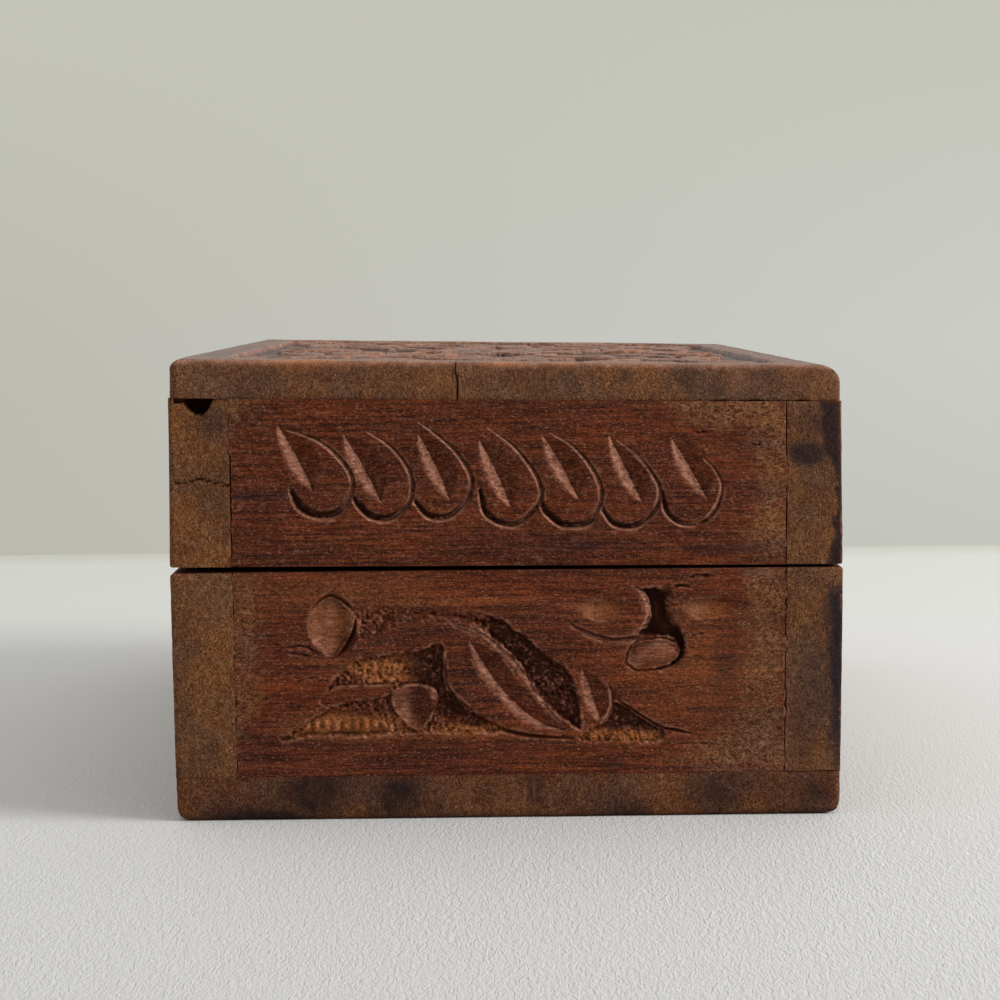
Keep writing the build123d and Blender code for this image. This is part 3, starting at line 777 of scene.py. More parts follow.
def cavity(depth, grid, places):
    """From a depth over the outer face's grid: crisp ridges (worn pale, with a painted highlight) and narrow
    valleys (painted shade).
    """
    field = depth[grid]
    wide = field
    for _ in range(3):
        padded = np.pad(wide, 1, mode="edge")
        wide = (padded[:-2, 1:-1] + padded[2:, 1:-1] + padded[1:-1, :-2] + padded[1:-1, 2:]) / 4
    ridge = np.zeros_like(depth)
    ridge[grid] = wide - field
    broken = np.clip(0.45 + 1.1 * noise(places, 0.7, 73) + 0.5 * noise(places, 3.0, 74), 0, 1)
    return np.clip(ridge * 7.5, 0, 1) * broken, np.clip(-ridge * 8, 0, 1)


def panel_smear(a, b, *outlines):
    """Old filler and dust that was rubbed over the joints, with a ragged edge."""
    flat = on_plane(a, b)
    total = np.zeros(len(a))
    for points in outlines:
        within = inside(a, b, points, smooth=False) + 1.4 * noise(flat, 3.0, 71) + 1.3 * noise(flat, 0.7, 72)
        total = most(total, ramp((within + 1.0) / 4.6))
    return 0.8 * total


def crack(z, seed):
    """How far a joint wanders to one side or the other over its height."""
    line = np.column_stack([z, z * 0, z * 0])
    return 0.42 * noise(line, 2.6, seed) + 0.20 * noise(line, 0.8, seed + 1)


def end_panel(node, direction, low, high, spacing):
    """The bare board of an end panel; its outer face is fine enough to be carved."""
    outer_x = direction * length_x
    thick = lines(outer_x, outer_x - direction * end_thickness, 0.3, 2.0, 0.9)
    wide = lines(panel_front, panel_back, spacing)
    return plank(node + "_carved", (1, 2, 0), wide, lines(low, high, spacing), thick)


def plane_marks(places, filler, seed, ripple, pore, pore_depth, crumb):
    """Ripples and open pores that the plane left, and crumbs of filler on them."""
    marks = ripples(places, (3, *ripple), seed, 0.05) + ripples(places, 5, seed + 1, 0.03)
    marks += bits(places, (1, pore, 0.35), seed + 2, -0.45) * pore_depth
    crumbs = crumb * bits(places, 0.5, seed + 3) + ripples(places, 1.4, seed + 4, crumb / 2)
    return marks + filler * crumbs


def open_joints(places, x, y, height, worn, shares, edge, gap, scuff):
    """Wears the panel's edges beside both joints and lets them gape. Edge and gap are each an amount, a
    lump's size and a seed; shares say how open each joint is. Returns the wear with the joints' own."""
    outer_x = np.sign(x.mean()) * length_x
    near_end = ramp((np.abs(x) - length_x + 1.2) / 0.9)
    for joint, share in zip((panel_front, panel_back), shares):
        radius = np.clip(0.22 + edge[0] * noise(places, *edge[1:]), 0.05, 0.6)
        ease(places, (0, outer_x), (1, joint), share * radius)
        wide = share * (gap[0] + 0.26 * bits(places, *gap[1:], 0.2))
        at_joint = np.abs(y - joint) < 0.01
        places[:, 1] += at_joint * (crack(height, 125) * near_end + np.sign(y.mean() - joint) * wide)
        near_joint = ramp(1 - np.abs(y - joint) / 0.5)
        worn = most(worn, 0.9 * share * near_joint * bits(places, 1.2, 128, scuff))
    return worn


base_panel_wood = wood_material(
    "wood_base_panels",
    grain="Y",
    shift=(5.0, 0.0, 0.0),
    long_grain=((62, 26, 12), (121, 61, 34)),
    end_colours=((50, 27, 16), (116, 69, 46)),
    fibrous=0.75,
)
base_smears = (
    [(-42.5, 39.5), (-36.6, 39.5), (-36.2, 27.4), (-36.8, 19.8), (-37.9, 16.0), (-41.0, 9.6), (-43.0, 8.6)],
    [
        (43.5, 39.5), (35.6, 39.5), (35.0, 27.0), (36.1, 17.8),
        (30.0, 11.6), (24.0, 8.4), (36.4, 5.0), (43.5, 5.0),
    ],
)
for node, direction, spacing in (("base_left_panel", -1, 0.18), ("base_right_panel", 1, 0.27)):
    board, places, grid, face = end_panel(node, direction, floor_z, rim_z, spacing)
    x, y, z = places.T.copy()
    a = direction * y
    wobble = (1 + direction) / 2
    wobbled_a = a + wobble * 0.5 * noise(places, 9, 81)
    wobbled_z = z + wobble * 0.4 * noise(places, 8, 82)
    depth, raw, recess_shade, shaved = vine(wobbled_a, wobbled_z)
    worn, valley = cavity(depth, grid, places)
    filler = panel_smear(a, z, *base_smears)
    marks = plane_marks(places, filler, 83, (14, 1.6), 2.2, 0.16, 0.10)
    places[:, 0] -= direction * (depth + marks) * face
    tight = 0.25 + 0.75 * most(ramp((10 - z) / 2), ramp(z - 36))
    shares = (1.0, tight)[::-direction]
    worn = open_joints(places, x, y, z, worn, shares, edge=(0.24, 1.6, 88), gap=(0.08, 1.7, 123), scuff=0.3)
    outer_x = direction * length_x
    ease(places, (0, outer_x), (2, rim_z), np.clip(0.35 + 0.2 * noise(places, 6, 89), 0.1, 0.7))
    seam = np.clip(0.12 + 0.14 * noise(places, 2, 90) + 0.1 * ramp((a - 12) / 10), 0.03, 0.5)
    ease(places, (0, outer_x), (2, floor_z), seam)
    leaned(places)
    # Painted shade in the recesses and valleys; painted highlight on the lit facets, also flecked into the
    # wear.
    masks = {"cut": most(recess_shade, 0.8 * valley), "raw": raw, "filler": filler, "shaved": shaved}
    masks["worn"] = most(worn, 0.25 * shaved * bits(places, (1, 0.9, 0.6), 122, 0.5))
    masks["stain"] = 0.45 * spots(a, z, (16, 8.2, 2.2, 1.3), (33, 23, 2.0, 4.0))
    masks = {name: mask * face for name, mask in masks.items()}
    finish_board(board, places, node, "carved_wood", "base", base_panel_wood, **masks)

# The tray's two long boards run past the end panels, so their end grain makes the upright strips at its
# corners. Corners worn round; the front one carries the same vine twice, curl to curl, the back one is plain.
def front_board(name, low, high):
    """The bare board of a carved front."""
    along_box = lines(-length_x, length_x, 0.36)
    return plank(name, (0, 2, 1), along_box, lines(low, high, 0.33), lines(-half_y, panel_front, 0.3))


def back_board(name, low, high):
    """The bare board of a plain back; only its ends are fine."""
    along_box = lines(-length_x, length_x, 0.3, 1.2, 3.0)
    return plank(name, (0, 2, 1), along_box, lines(low, high, 0.3), lines(half_y, panel_back, 0.3))


def end_grain(places, x, seed):
    """The pits and torn fibres of sawn end grain on both ends of a long board."""
    at_end = np.abs(x) > length_x - 0.01
    torn = bits(places, (3, 0.42, 0.75), seed, -0.2) * 0.16
    torn += ripples(places, 2.0, seed + 1, 0.05) + 0.05 * bits(places, 0.6, seed + 2)
    places[:, 0] -= np.sign(x) * at_end * torn
    for joint in (panel_front, panel_back):
        at_joint = (np.abs(places[:, 1] - joint) < 0.01) * ramp((np.abs(x) - length_x + 0.35) / 0.3)
        places[:, 1] += at_joint * crack(places[:, 2], 125)


def long_board_masks(x, places):
    """Where end grain shows, and the pale specks that handling leaves on the corners."""
    end = ramp((np.abs(x) - (length_x - 0.5)) / 0.4)
    speck = bits(places, 0.9, 91, -0.1) * 1.8
    from_corner = ramp((np.abs(places[:, 1]) - (half_y - 0.7)) / 0.6)
    speck *= from_corner * ramp((np.abs(x) - (length_x - 1.2)) / 0.8)
    joint = np.minimum(np.abs(places[:, 1] - panel_front), np.abs(places[:, 1] - panel_back))
    return end, most(speck, 0.7 * ramp(1 - joint / 0.5) * end * bits(places, 1.2, 128, 0.3))


def dimples(x, z, levels, radius=0.95, depth=0.22):
    """Small filled hollows over the heads of the brads, at two levels near each end."""
    total = np.zeros(len(x))
    for level in levels:
        from_head = np.hypot(np.abs(x) - length_x + end_thickness / 2, z - level)
        total = most(total, ramp((radius - from_head) / 0.5))
    return total * depth


brad_levels = (12.5, 31.8)
long_wood = wood_material(
    "wood_base_long",
    grain="X",
    shift=(0.0, 19.0, 8.0),
    long_grain=((62, 26, 12), (121, 61, 34)),
    end_colours=((44, 23, 11), (127, 79, 47)),
    fibrous=0.8,
    soot=(30, 33, 47),
)
board, places, grid, face = front_board("base_front_carved", floor_z, rim_z)
x, y, z = places.T.copy()
vine_half = 37.5
mirrored = vine_half - np.abs(x)
bend = 0.5 * noise(places, 10, 92)
depth, raw, recess_shade, shaved = vine(mirrored + bend, z + 0.4 * noise(places, 9, 93))
worn, valley = cavity(depth, grid, places)
holes = dimples(x, z, brad_levels)
places[:, 1] += (depth + ripples(places, (14, 3, 1.6), 94, 0.06) + holes) * face
end_grain(places, x, 95)
wear = 0.22 * noise(places, 5, 96)
ease_ends(
    places,
    length_x,
    wear,
    (1, -half_y, 0.55, 1, 0.3, 1.0),
    (1, panel_front, 0.16, 0.8, 0.05, 0.5),
    (2, rim_z, 0.55, 1, 0.3, 1.0),
    (2, floor_z, 0.4, 1.4, 0.1, 0.8),
)
ease(places, (1, -half_y), (2, rim_z), np.clip(0.6 + wear, 0.3, 1.0))
ease(places, (1, -half_y), (2, floor_z), 0.15)
leaned(places)
end, speck = long_board_masks(x, places)
a = -y
photo_end = x < -length_x + 0.01
stain = (a - 46.9 - 0.5 * noise(places, 4, 97) - 0.7 * noise(places, 0.9, 98) + 0.05 * (z - 22)) / 3.0
stain = ramp(stain) * ramp((z - 5.5) / 3) * ramp((37 - z) / 4)
stain = most(stain, 0.5 * spots(a, z, (47.0, 20, 3.5, 9.5), (45.0, 14, 3.0, 6.0)))
# Painted shade in the recesses and valleys; painted highlight on the lit facets, also mixed into the wear.
finish_board(
    board, places, "base_front_board", "carved_wood", "base", long_wood,
    end=end,
    cut=most(recess_shade, 0.8 * valley) * face,
    worn=most(most(worn, 0.3 * shaved) * face, speck),
    raw=raw * face,
    filler=(holes > 0.05) * 0.9 * face,
    stain=stain * photo_end,
    shaved=shaved * face,
)


def hinge_housings(board, places, leaf_nodes):
    """Cuts the shallow recess of each leaf and the groove of its knuckles out of a back board."""
    write_places(board, places)
    for node in leaf_nodes:
        low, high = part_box(node)
        middle_x = (low.x + high.x) / 2
        recess = (0.0262, 0.052 - low.y + 0.0002, 2 * 0.00085)
        cutters = []
        bpy.ops.mesh.primitive_cube_add(size=1, location=(middle_x, (low.y + 0.052) / 2 - 0.0001, 0.03825))
        bpy.context.object.scale = recess
        cutters.append(bpy.context.object)
        bpy.ops.mesh.primitive_cylinder_add(
            radius=0.00204,
            depth=0.0275,
            vertices=32,
            location=(middle_x, 0.0502, 0.03825),
            rotation=(0, math.radians(90), 0),
        )
        cutters.append(bpy.context.object)
        for cutter in cutters:
            cut = board.modifiers.new("housing", "BOOLEAN")
            cut.operation = "DIFFERENCE"
            cut.solver = "EXACT"
            cut.object = cutter
            bpy.context.view_layer.objects.active = board
            bpy.ops.object.modifier_apply(modifier=cut.name)
            bpy.data.objects.remove(cutter)
    spot = np.empty(len(board.data.vertices) * 3)
    board.data.vertices.foreach_get("co", spot)
    return spot.reshape(-1, 3) / mm


board, places, grid, face = back_board("base_back_plain", floor_z, rim_z)
ease_ends(places, length_x, 0.22 * noise(places, 5, 101), (1, half_y, 0.7, 1, 0.4, 1.2))
ease(places, (1, half_y), (2, rim_z), 0.8)
places = hinge_housings(board, places, ("left_hinge_base_leaf", "right_hinge_base_leaf"))
x, y, z = places.T.copy()
at_back = y > half_y - 0.01
holes = dimples(x, z, brad_levels) * at_back
places[:, 1] -= at_back * ripples(places, (16, 3, 1.8), 102, 0.06) + holes
end_grain(places, x, 103)
ease_ends(
    places,
    length_x,
    0.22 * noise(places, 4, 104),
    (1, panel_back, 0.06, 0.3, 0.03, 0.2),
    (2, rim_z, 0.7, 1, 0.4, 1.1),
    (2, floor_z, 0.2, 1, 0.06, 0.6),
)
leaned(places)
end, speck = long_board_masks(x, places)
photo_end = x < -length_x + 0.01
finish_board(
    board, places, "base_back_board", "plain_wood", "base", long_wood,
    end=end,
    worn=0.5 * speck,
    filler=(holes > 0.05) * 0.9,
    stain=0.35 * ramp((y - 49.6) / 1.0) * photo_end,
)

# The lid's two end panels carry a row of seven scrolled leaves. Each is one slanting gouge cut, short and
# steep on its left and long on its right, and a V cut that curls round its right side and foot.
# Each leaf's walls that face the lamp get a painted highlight, and its grooves painted shade.
leaf_pitch = 9.8
slots = (
    [(-34.3, 60.3), (-31.6, 55.4), (-28.9, 49.9)],
    [(-24.4, 58.6), (-21.5, 53.6), (-18.8, 48.2)],
    [(-13.2, 58.6), (-10.7, 53.8), (-8.5, 48.5)],
    [(-4.1, 57.6), (-1.5, 52.6), (0.8, 47.1)],
    [(5.4, 58.2), (8.3, 53.5), (10.9, 48.4)],
    [(15.4, 58.0), (18.0, 53.0), (20.5, 47.6)],
    [(24.7, 57.6), (27.5, 53.2), (30.2, 48.3)],
)
arcs = (
    [
        (-33.2, 59.4), (-28.2, 57.7), (-24.9, 55.0), (-23.1, 52.1), (-23.2, 49.6),
        (-24.5, 47.3), (-27.0, 46.1), (-29.5, 46.5), (-31.3, 47.8), (-32.3, 49.9),
    ],
    [
        (-20.8, 58.9), (-17.4, 56.8), (-14.9, 53.8), (-14.0, 51.1), (-14.5, 48.2),
        (-16.3, 46.4), (-18.0, 45.6), (-20.5, 46.1), (-22.3, 47.8), (-23.0, 49.0),
    ],
    [
        (-13.0, 60.2), (-10.5, 58.5), (-7.5, 55.8), (-5.3, 52.4), (-5.2, 50.0),
        (-6.2, 48.0), (-8.9, 45.9), (-11.8, 46.1), (-13.7, 48.2),
    ],
    [
        (-2.7, 59.3), (1.0, 56.7), (3.7, 53.5), (5.2, 50.5), (5.0, 48.0),
        (2.0, 44.9), (-0.7, 44.8), (-3.2, 46.5), (-4.0, 49.8),
    ],
    [
        (6.6, 58.5), (10.0, 56.5), (12.7, 53.5), (14.2, 50.6), (14.3, 48.2),
        (13.6, 46.6), (12.3, 44.7), (8.5, 44.5), (5.9, 46.4), (5.3, 47.5),
    ],
    [
        (16.8, 57.2), (19.6, 55.1), (21.9, 52.4), (23.2, 49.7), (22.6, 47.0),
        (20.4, 44.7), (18.4, 44.1), (16.0, 44.7), (14.5, 46.7),
    ],
    [
        (29.7, 54.3), (31.3, 52.8), (32.5, 50.5), (32.1, 47.8), (30.5, 45.4),
        (28.5, 44.4), (26.0, 44.7), (24.1, 46.4), (23.4, 49.4),
    ],
)
arc_weights = (1.35, 1.15, 0.9, 0.95, 1.05, 0.9, 0.8)


def leaf_row(a, b, count, start):
    """A row of scrolled leaves. Returns the depth, a painted highlight on the walls that face the light and
    painted shade in the grooves.
    """
    flat = on_plane(a, b)
    rag = 1 + 0.12 * noise(flat, 0.7, 111)
    depth = np.zeros(len(a))
    lit = np.zeros(len(a))
    groove_shade = np.zeros(len(a))
    for number in range(count):
        kind = number % len(arcs)
        bold = arc_weights[kind]
        move = start + number * leaf_pitch + 29.4 - kind * leaf_pitch
        # Cut from its foot upwards, so that its left wall is the left of the stroke
        slot = [(pa + move, pb) for pa, pb in slots[kind][::-1]]
        arc = [(pa + move, pb) for pa, pb in arcs[kind]]
        slot_widths = (0, 0.75, 1, 1, 0.7, 0)
        deep = stroke(a, b, slot, 1.75, 3.2, 1.15, slot_widths, (0.1, 0.85, 1, 1, 0.6, 0)) * rag
        # Painted highlight on the slot's short left wall, which faces the lamp.
        facet = stroke(a, b, slot, 1.75, 0.01, 1.0, slot_widths, (1, 1))
        lit = most(lit, ramp((facet + 0.12 * noise(flat, 0.6, 110)) / 0.45))
        widths = (0, 0.4, 0.7, 0.9, 1.1, 1.35 * bold, 1.4 * bold, 0.9 * bold)
        depths = (0, 0.5, 0.8, 1, 1.1, 1.2 * bold, 1.2 * bold, 0.8)
        depth = most(depth, deep, stroke(a, b, arc, 0.38, 0.55, 0.85, widths, depths) * rag)
        # Painted highlight on the groove's wall that faces the light: its inner one on the leaf's right, its
        # outer one at the foot
        inner_wall = stroke(a, b, arc, 0.01, 0.66, 1, (0.3, 0.8, 1, 1.1, 0.8, 0.3, 0, 0), (1, 1))
        outer_wall = stroke(a, b, arc, 0.60, 0.01, 1, (0, 0, 0, 0, 0.3, 1.0, 1.25, 0.9), (1, 1))
        walls = most(ramp(inner_wall / 0.3), ramp(outer_wall / 0.25) * ramp((0.72 - outer_wall) / 0.25))
        lit = most(lit, walls * np.clip(0.85 + 0.5 * noise(flat, 1.1, 109), 0, 1))
        # Painted shade: a dark line on the groove's outer side, and a dark crescent inside its foot.
        shade = stroke(a, b, arc, 0.30, 0.01, 1, (0.4, 0.7, 0.9, 1, 1, 0.6, 0.3, 0), (1, 1))
        widths = (0, 0, 0, 0.1, 0.7, 1.5 * bold, 1.8 * bold, 1.2 * bold)
        foot = stroke(a, b, arc, 0.16, 0.55, 1, widths, (1, 1))
        groove_shade = most(groove_shade, 0.9 * ramp(shade / 0.6), ramp(foot / 0.35))
    return depth, lit, groove_shade


def risen(places, low, high, low_rise, high_rise):
    """Heights on the lid, whose boards climb to the back, at their lower and their upper edges."""
    s = (places[:, 1] + half_y) / (2 * half_y)
    t = (places[:, 2] - low) / (high - low)
    return places[:, 2] + s * (low_rise * (1 - t) + high_rise * t)


def lid_lean(places):
    """Wears the lid's corners back towards the top, and returns its walls' own heights."""
    worn_back = ramp((np.abs(places[:, 0]) - 73.2) / 3) * ramp((np.abs(places[:, 1]) - half_y + 4) / 4)
    worn_back *= 0.4 * np.clip((places[:, 2] - lid_low) / (lid_high - lid_low), 0, 1)
    places[:, 1] -= np.sign(places[:, 1]) * worn_back
    return risen(places, lid_low, lid_high, 0.5, 1.4)


lid_low = 38.2
lid_high = 62.7
lid_panel_wood = wood_material(
    "wood_lid_panels",
    grain="Y",
    shift=(40.0, 11.0, 2.0),
    long_grain=((60, 25, 10), (119, 59, 29)),
    end_colours=((50, 27, 16), (116, 69, 46)),
    fibrous=0.75,
)
lid_smears = (
    [
        (22.0, 66.0), (26.5, 60.4), (35.5, 57.5), (37.8, 50.0),
        (35.6, 45.0), (35.0, 40.0), (43.5, 38.0), (43.5, 66.0),
    ],
    [(-43.0, 66.0), (-35.5, 66.0), (-37.5, 61.0), (-40.0, 58.0), (-43.0, 57.0)],
)
for node, direction, spacing in (("lid_left_panel", -1, 0.165), ("lid_right_panel", 1, 0.27)):
    board, places, grid, face = end_panel(node, direction, lid_low, lid_high, spacing)
    x, y, z = places.T.copy()
    a = direction * y
    b = lid_lean(places)
    wobble = 0.2 * (1 + direction)
    wobbled_a = a + wobble * noise(places, 9, 112)
    wobbled_b = b + wobble * noise(places, 7, 113)
    depth, lit, groove_shade = leaf_row(wobbled_a, wobbled_b, 7, -29.4)
    for points, wide, deep in (
        ([(-27.9, 44.9), (0.0, 44.1), (33.5, 43.4)], 0.14, 0.16),
        ([(-31.0, 59.6), (0.0, 59.5), (31.0, 58.9)], 0.10, 0.07),
        ([(12.6, 62.9), (14.8, 61.3), (17.1, 59.2)], 0.10, 0.10),
        ([(28.1, 58.5), (29.1, 58.3), (30.1, 58.6)], 0.25, 0.40),
        ([(36.7, 56.6), (37.6, 56.4), (38.5, 56.6)], 0.22, 0.35),
        ([(-41.0, 49.4), (-38.0, 49.2), (-33.0, 49.6)], 0.20, 0.15),
        ([(1.0, 41.4), (12.0, 41.0), (28.0, 40.6)], 0.20, 0.14),
    ):
        depth = most(depth, stroke(a, b, points, wide, wide, deep, (0, 1, 0.6, 1, 0)))
    worn, valley = cavity(depth, grid, places)
    filler = panel_smear(a, b, *lid_smears)
    marks = plane_marks(places, filler, 114, (16, 1.5), 2.4, 0.14, 0.08)
    places[:, 0] -= direction * (depth + marks) * face
    worn = open_joints(places, x, y, b, worn, (1, 1), edge=(0.26, 1.5, 119), gap=(0.07, 1.8, 124), scuff=0.2)
    outer_x = direction * length_x
    ease(places, (0, outer_x), (2, lid_low), np.clip(0.25 + 0.15 * noise(places, 6, 120), 0.08, 0.5))
    ragged = 0.1 + (0.1 + 0.3 * bits(places, 1.1, 121)) * ramp((a - 18) / 18)
    ease(places, (0, outer_x), (2, lid_high), np.clip(ragged, 0.04, 0.6))
    places[:, 2] = lid_lean(places)
    # Painted shade in the valleys and grooves; painted highlight on the walls that face the lamp, also
    # flecked into the wear.
    masks = {"cut": most(0.85 * valley, 0.9 * groove_shade), "filler": filler, "shaved": lit}
    masks["worn"] = most(0.7 * worn, 0.55 * lit * bits(places, (1, 0.9, 0.5), 122, 0.4))
    stain = spots(a, b, (-36.5, 49.3, 5.5, 0.7), (12.0, 41.4, 11.0, 0.9), (34.0, 40.6, 7.0, 0.8))
    masks["stain"] = 0.85 * stain * (0.75 + 0.5 * noise(places, (1, 3, 0.8), 126))
    masks = {name: mask * face for name, mask in masks.items()}
    finish_board(board, places, node, "carved_wood", "lid", lid_panel_wood, **masks)

# The lid's long boards: the front one is carved with a longer row of the same leaves, the back one is
# plain, split at one end, with a hollow under the top board.
lid_long_wood = wood_material(
    "wood_lid_long",
    grain="X",
    shift=(13.0, 23.0, 31.0),
    long_grain=((60, 25, 10), (119, 59, 29)),
    end_colours=((44, 23, 11), (129, 78, 44)),
    fibrous=0.8,
    soot=(31, 28, 36),
)
board, places, grid, face = front_board("lid_front_carved", lid_low, lid_high)
x, y, z = places.T.copy()
depth, lit, groove_shade = leaf_row(x + 0.4 * noise(places, 9, 131), z + 0.4 * noise(places, 7, 132), 13, -58.8)
worn, valley = cavity(depth, grid, places)
holes = dimples(x, z, (44.2, 56.7))
places[:, 1] += (depth + ripples(places, (14, 3, 1.6), 133, 0.06) + holes) * face
end_grain(places, x, 134)
wear = 0.22 * noise(places, 5, 135)
ease_ends(
    places,
    length_x,
    wear,
    (1, -half_y, 0.85, 1, 0.5, 1.3),
    (1, panel_front, 0.25, 1.2, 0.06, 0.7),
    (2, lid_low, 0.3, 1, 0.15, 0.7),
    (2, lid_high, 0.25, 1, 0.08, 0.6),
)
ease(places, (1, -half_y), (2, lid_low), np.clip(0.5 + wear, 0.25, 0.9))
places[:, 2] = lid_lean(places)
end, speck = long_board_masks(x, places)
a = -y
photo_end = x < -length_x + 0.01
stain = a - 48.7 + 2.0 * ramp((z - 52) / 6) + 1.6 * ramp((43 - z) / 3)
stain = 0.95 * ramp((stain - 0.9 * noise(places, 4, 136) - 0.7 * noise(places, 0.9, 137)) / 1.3)
stain = most(
    stain,
    0.9 * np.clip(1.8 * spots(a, z, (45.2, 54.9, 2.8, 1.7)), 0, 1),
    0.5 * spots(a, z, (47.5, 59.5, 4.5, 3.4)),
    0.22 * spots(a, z, (46.2, 50.0, 5.0, 9.0)),
)
# Painted shade in the valleys and grooves; painted highlight on the walls that face the lamp, also mixed into
# the wear.
finish_board(
    board, places, "lid_front_board", "carved_wood", "lid", lid_long_wood,
    end=end,
    cut=most(0.85 * valley, 0.7 * groove_shade) * face,
    worn=most(most(0.7 * worn, 0.3 * lit) * face, speck),
    shaved=lit * face,
    filler=(holes > 0.05) * 0.9 * face,
    stain=stain * photo_end,
)
board, places, grid, face = back_board("lid_back_plain", lid_low, lid_high)
ease_ends(places, length_x, 0.22 * noise(places, 5, 141), (1, half_y, 0.9, 1, 0.5, 1.4))
ease(places, (1, half_y), (2, lid_low), 0.4)
places[:, 2] = lid_lean(places)
places = hinge_housings(board, places, ("left_hinge_lid_leaf", "right_hinge_lid_leaf"))
x, y, z = places.T.copy()
a = -y
at_back = y > half_y - 0.01
holes = dimples(x, z, (44.7, 58.1)) * at_back
places[:, 1] -= at_back * ripples(places, (16, 3, 1.8), 142, 0.06) + holes
end_grain(places, x, 143)
photo_end = x < -length_x + 0.01
split = [(-50.6, 51.9), (-48.5, 51.3), (-46.0, 52.0), (-44.0, 51.4), (-41.6, 51.0)]
split = stroke(a, z, split, 0.22, 0.22, 0.6, (1, 0.6, 1, 0.7, 1))
hollow_foot = [
    (-51, 63.5), (-49.6, 63.1), (-48.2, 62.9), (-47.3, 62.1),
    (-46.5, 61.5), (-45.4, 61.4), (-44.5, 62.3), (-43.7, 64.4),
]
hollow_foot = np.interp(a, *np.transpose(hollow_foot)) + 0.25 * noise(on_plane(a, z), 0.9, 144)
knot = ramp((z - hollow_foot) / 0.35) * (0.7 + 2.0 * ramp((a + 48.3) / 0.8))
places[:, 0] += photo_end * most(split, knot)
ease_ends(places, length_x, 0.22 * noise(places, 4, 145), (1, panel_back, 0.3, 1.6, 0.06, 0.8))
places[:, 0] += photo_end * 0.35 * ramp((z - 63.2 - 0.25 * noise(places, 1.5, 146)) / 0.5)
end, speck = long_board_masks(x, places)
# Painted shade in the split and in the hollow under the top board.
finish_board(
    board, places, "lid_back_board", "plain_wood", "lid", lid_long_wood,
    end=end,
    cut=photo_end * np.clip(most(split * 1.3, knot), 0, 1),
    worn=0.5 * speck,
    filler=(holes > 0.05) * 0.9,
    stain=0.5 * spots(a, z, (-44.2, 60.5, 3.0, 2.0)) * photo_end,
)

# The top board lies over the walls, inset a little. Its border is plain; inside it the ground is cut down
# round a flower with eight petals, two smaller flowers and leaves on curling stems.
top_low = 62.7
top_high = 68.2
top_low_rise = 1.4
top_high_rise = 1.9
top_x = 75.8
top_y = 50.4


def oval(a, b, ca, cb, long_half, wide_half, angle):
    """About how far each place lies inside an oval, in mm; outside it is negative."""
    c, s = math.cos(math.radians(angle)), math.sin(math.radians(angle))
    u = ((a - ca) * c + (b - cb) * s) / long_half
    v = (-(a - ca) * s + (b - cb) * c) / wide_half
    return (1 - np.hypot(u, v)) * wide_half


def flower(a, b, ca, cb, petals, ring, long_half, wide_half, button):
    """A round flower: cupped petals round a button. Returns how far inside and how deep."""
    within = oval(a, b, ca, cb, button, button, 0)
    deep = 0.7 - 0.55 * ramp(within / button * 1.6)
    for number in range(petals):
        angle = 360 * (number + 0.5) / petals
        pa = ca + ring * math.cos(math.radians(angle))
        pb = cb + ring * math.sin(math.radians(angle))
        petal = oval(a, b, pa, pb, long_half, wide_half, angle)
        cup = 0.12 + 0.55 * ramp(petal / wide_half * 1.1)
        chosen = petal > within
        within = np.where(chosen, petal, within)
        deep = np.where(chosen, cup, deep)
    return within, deep


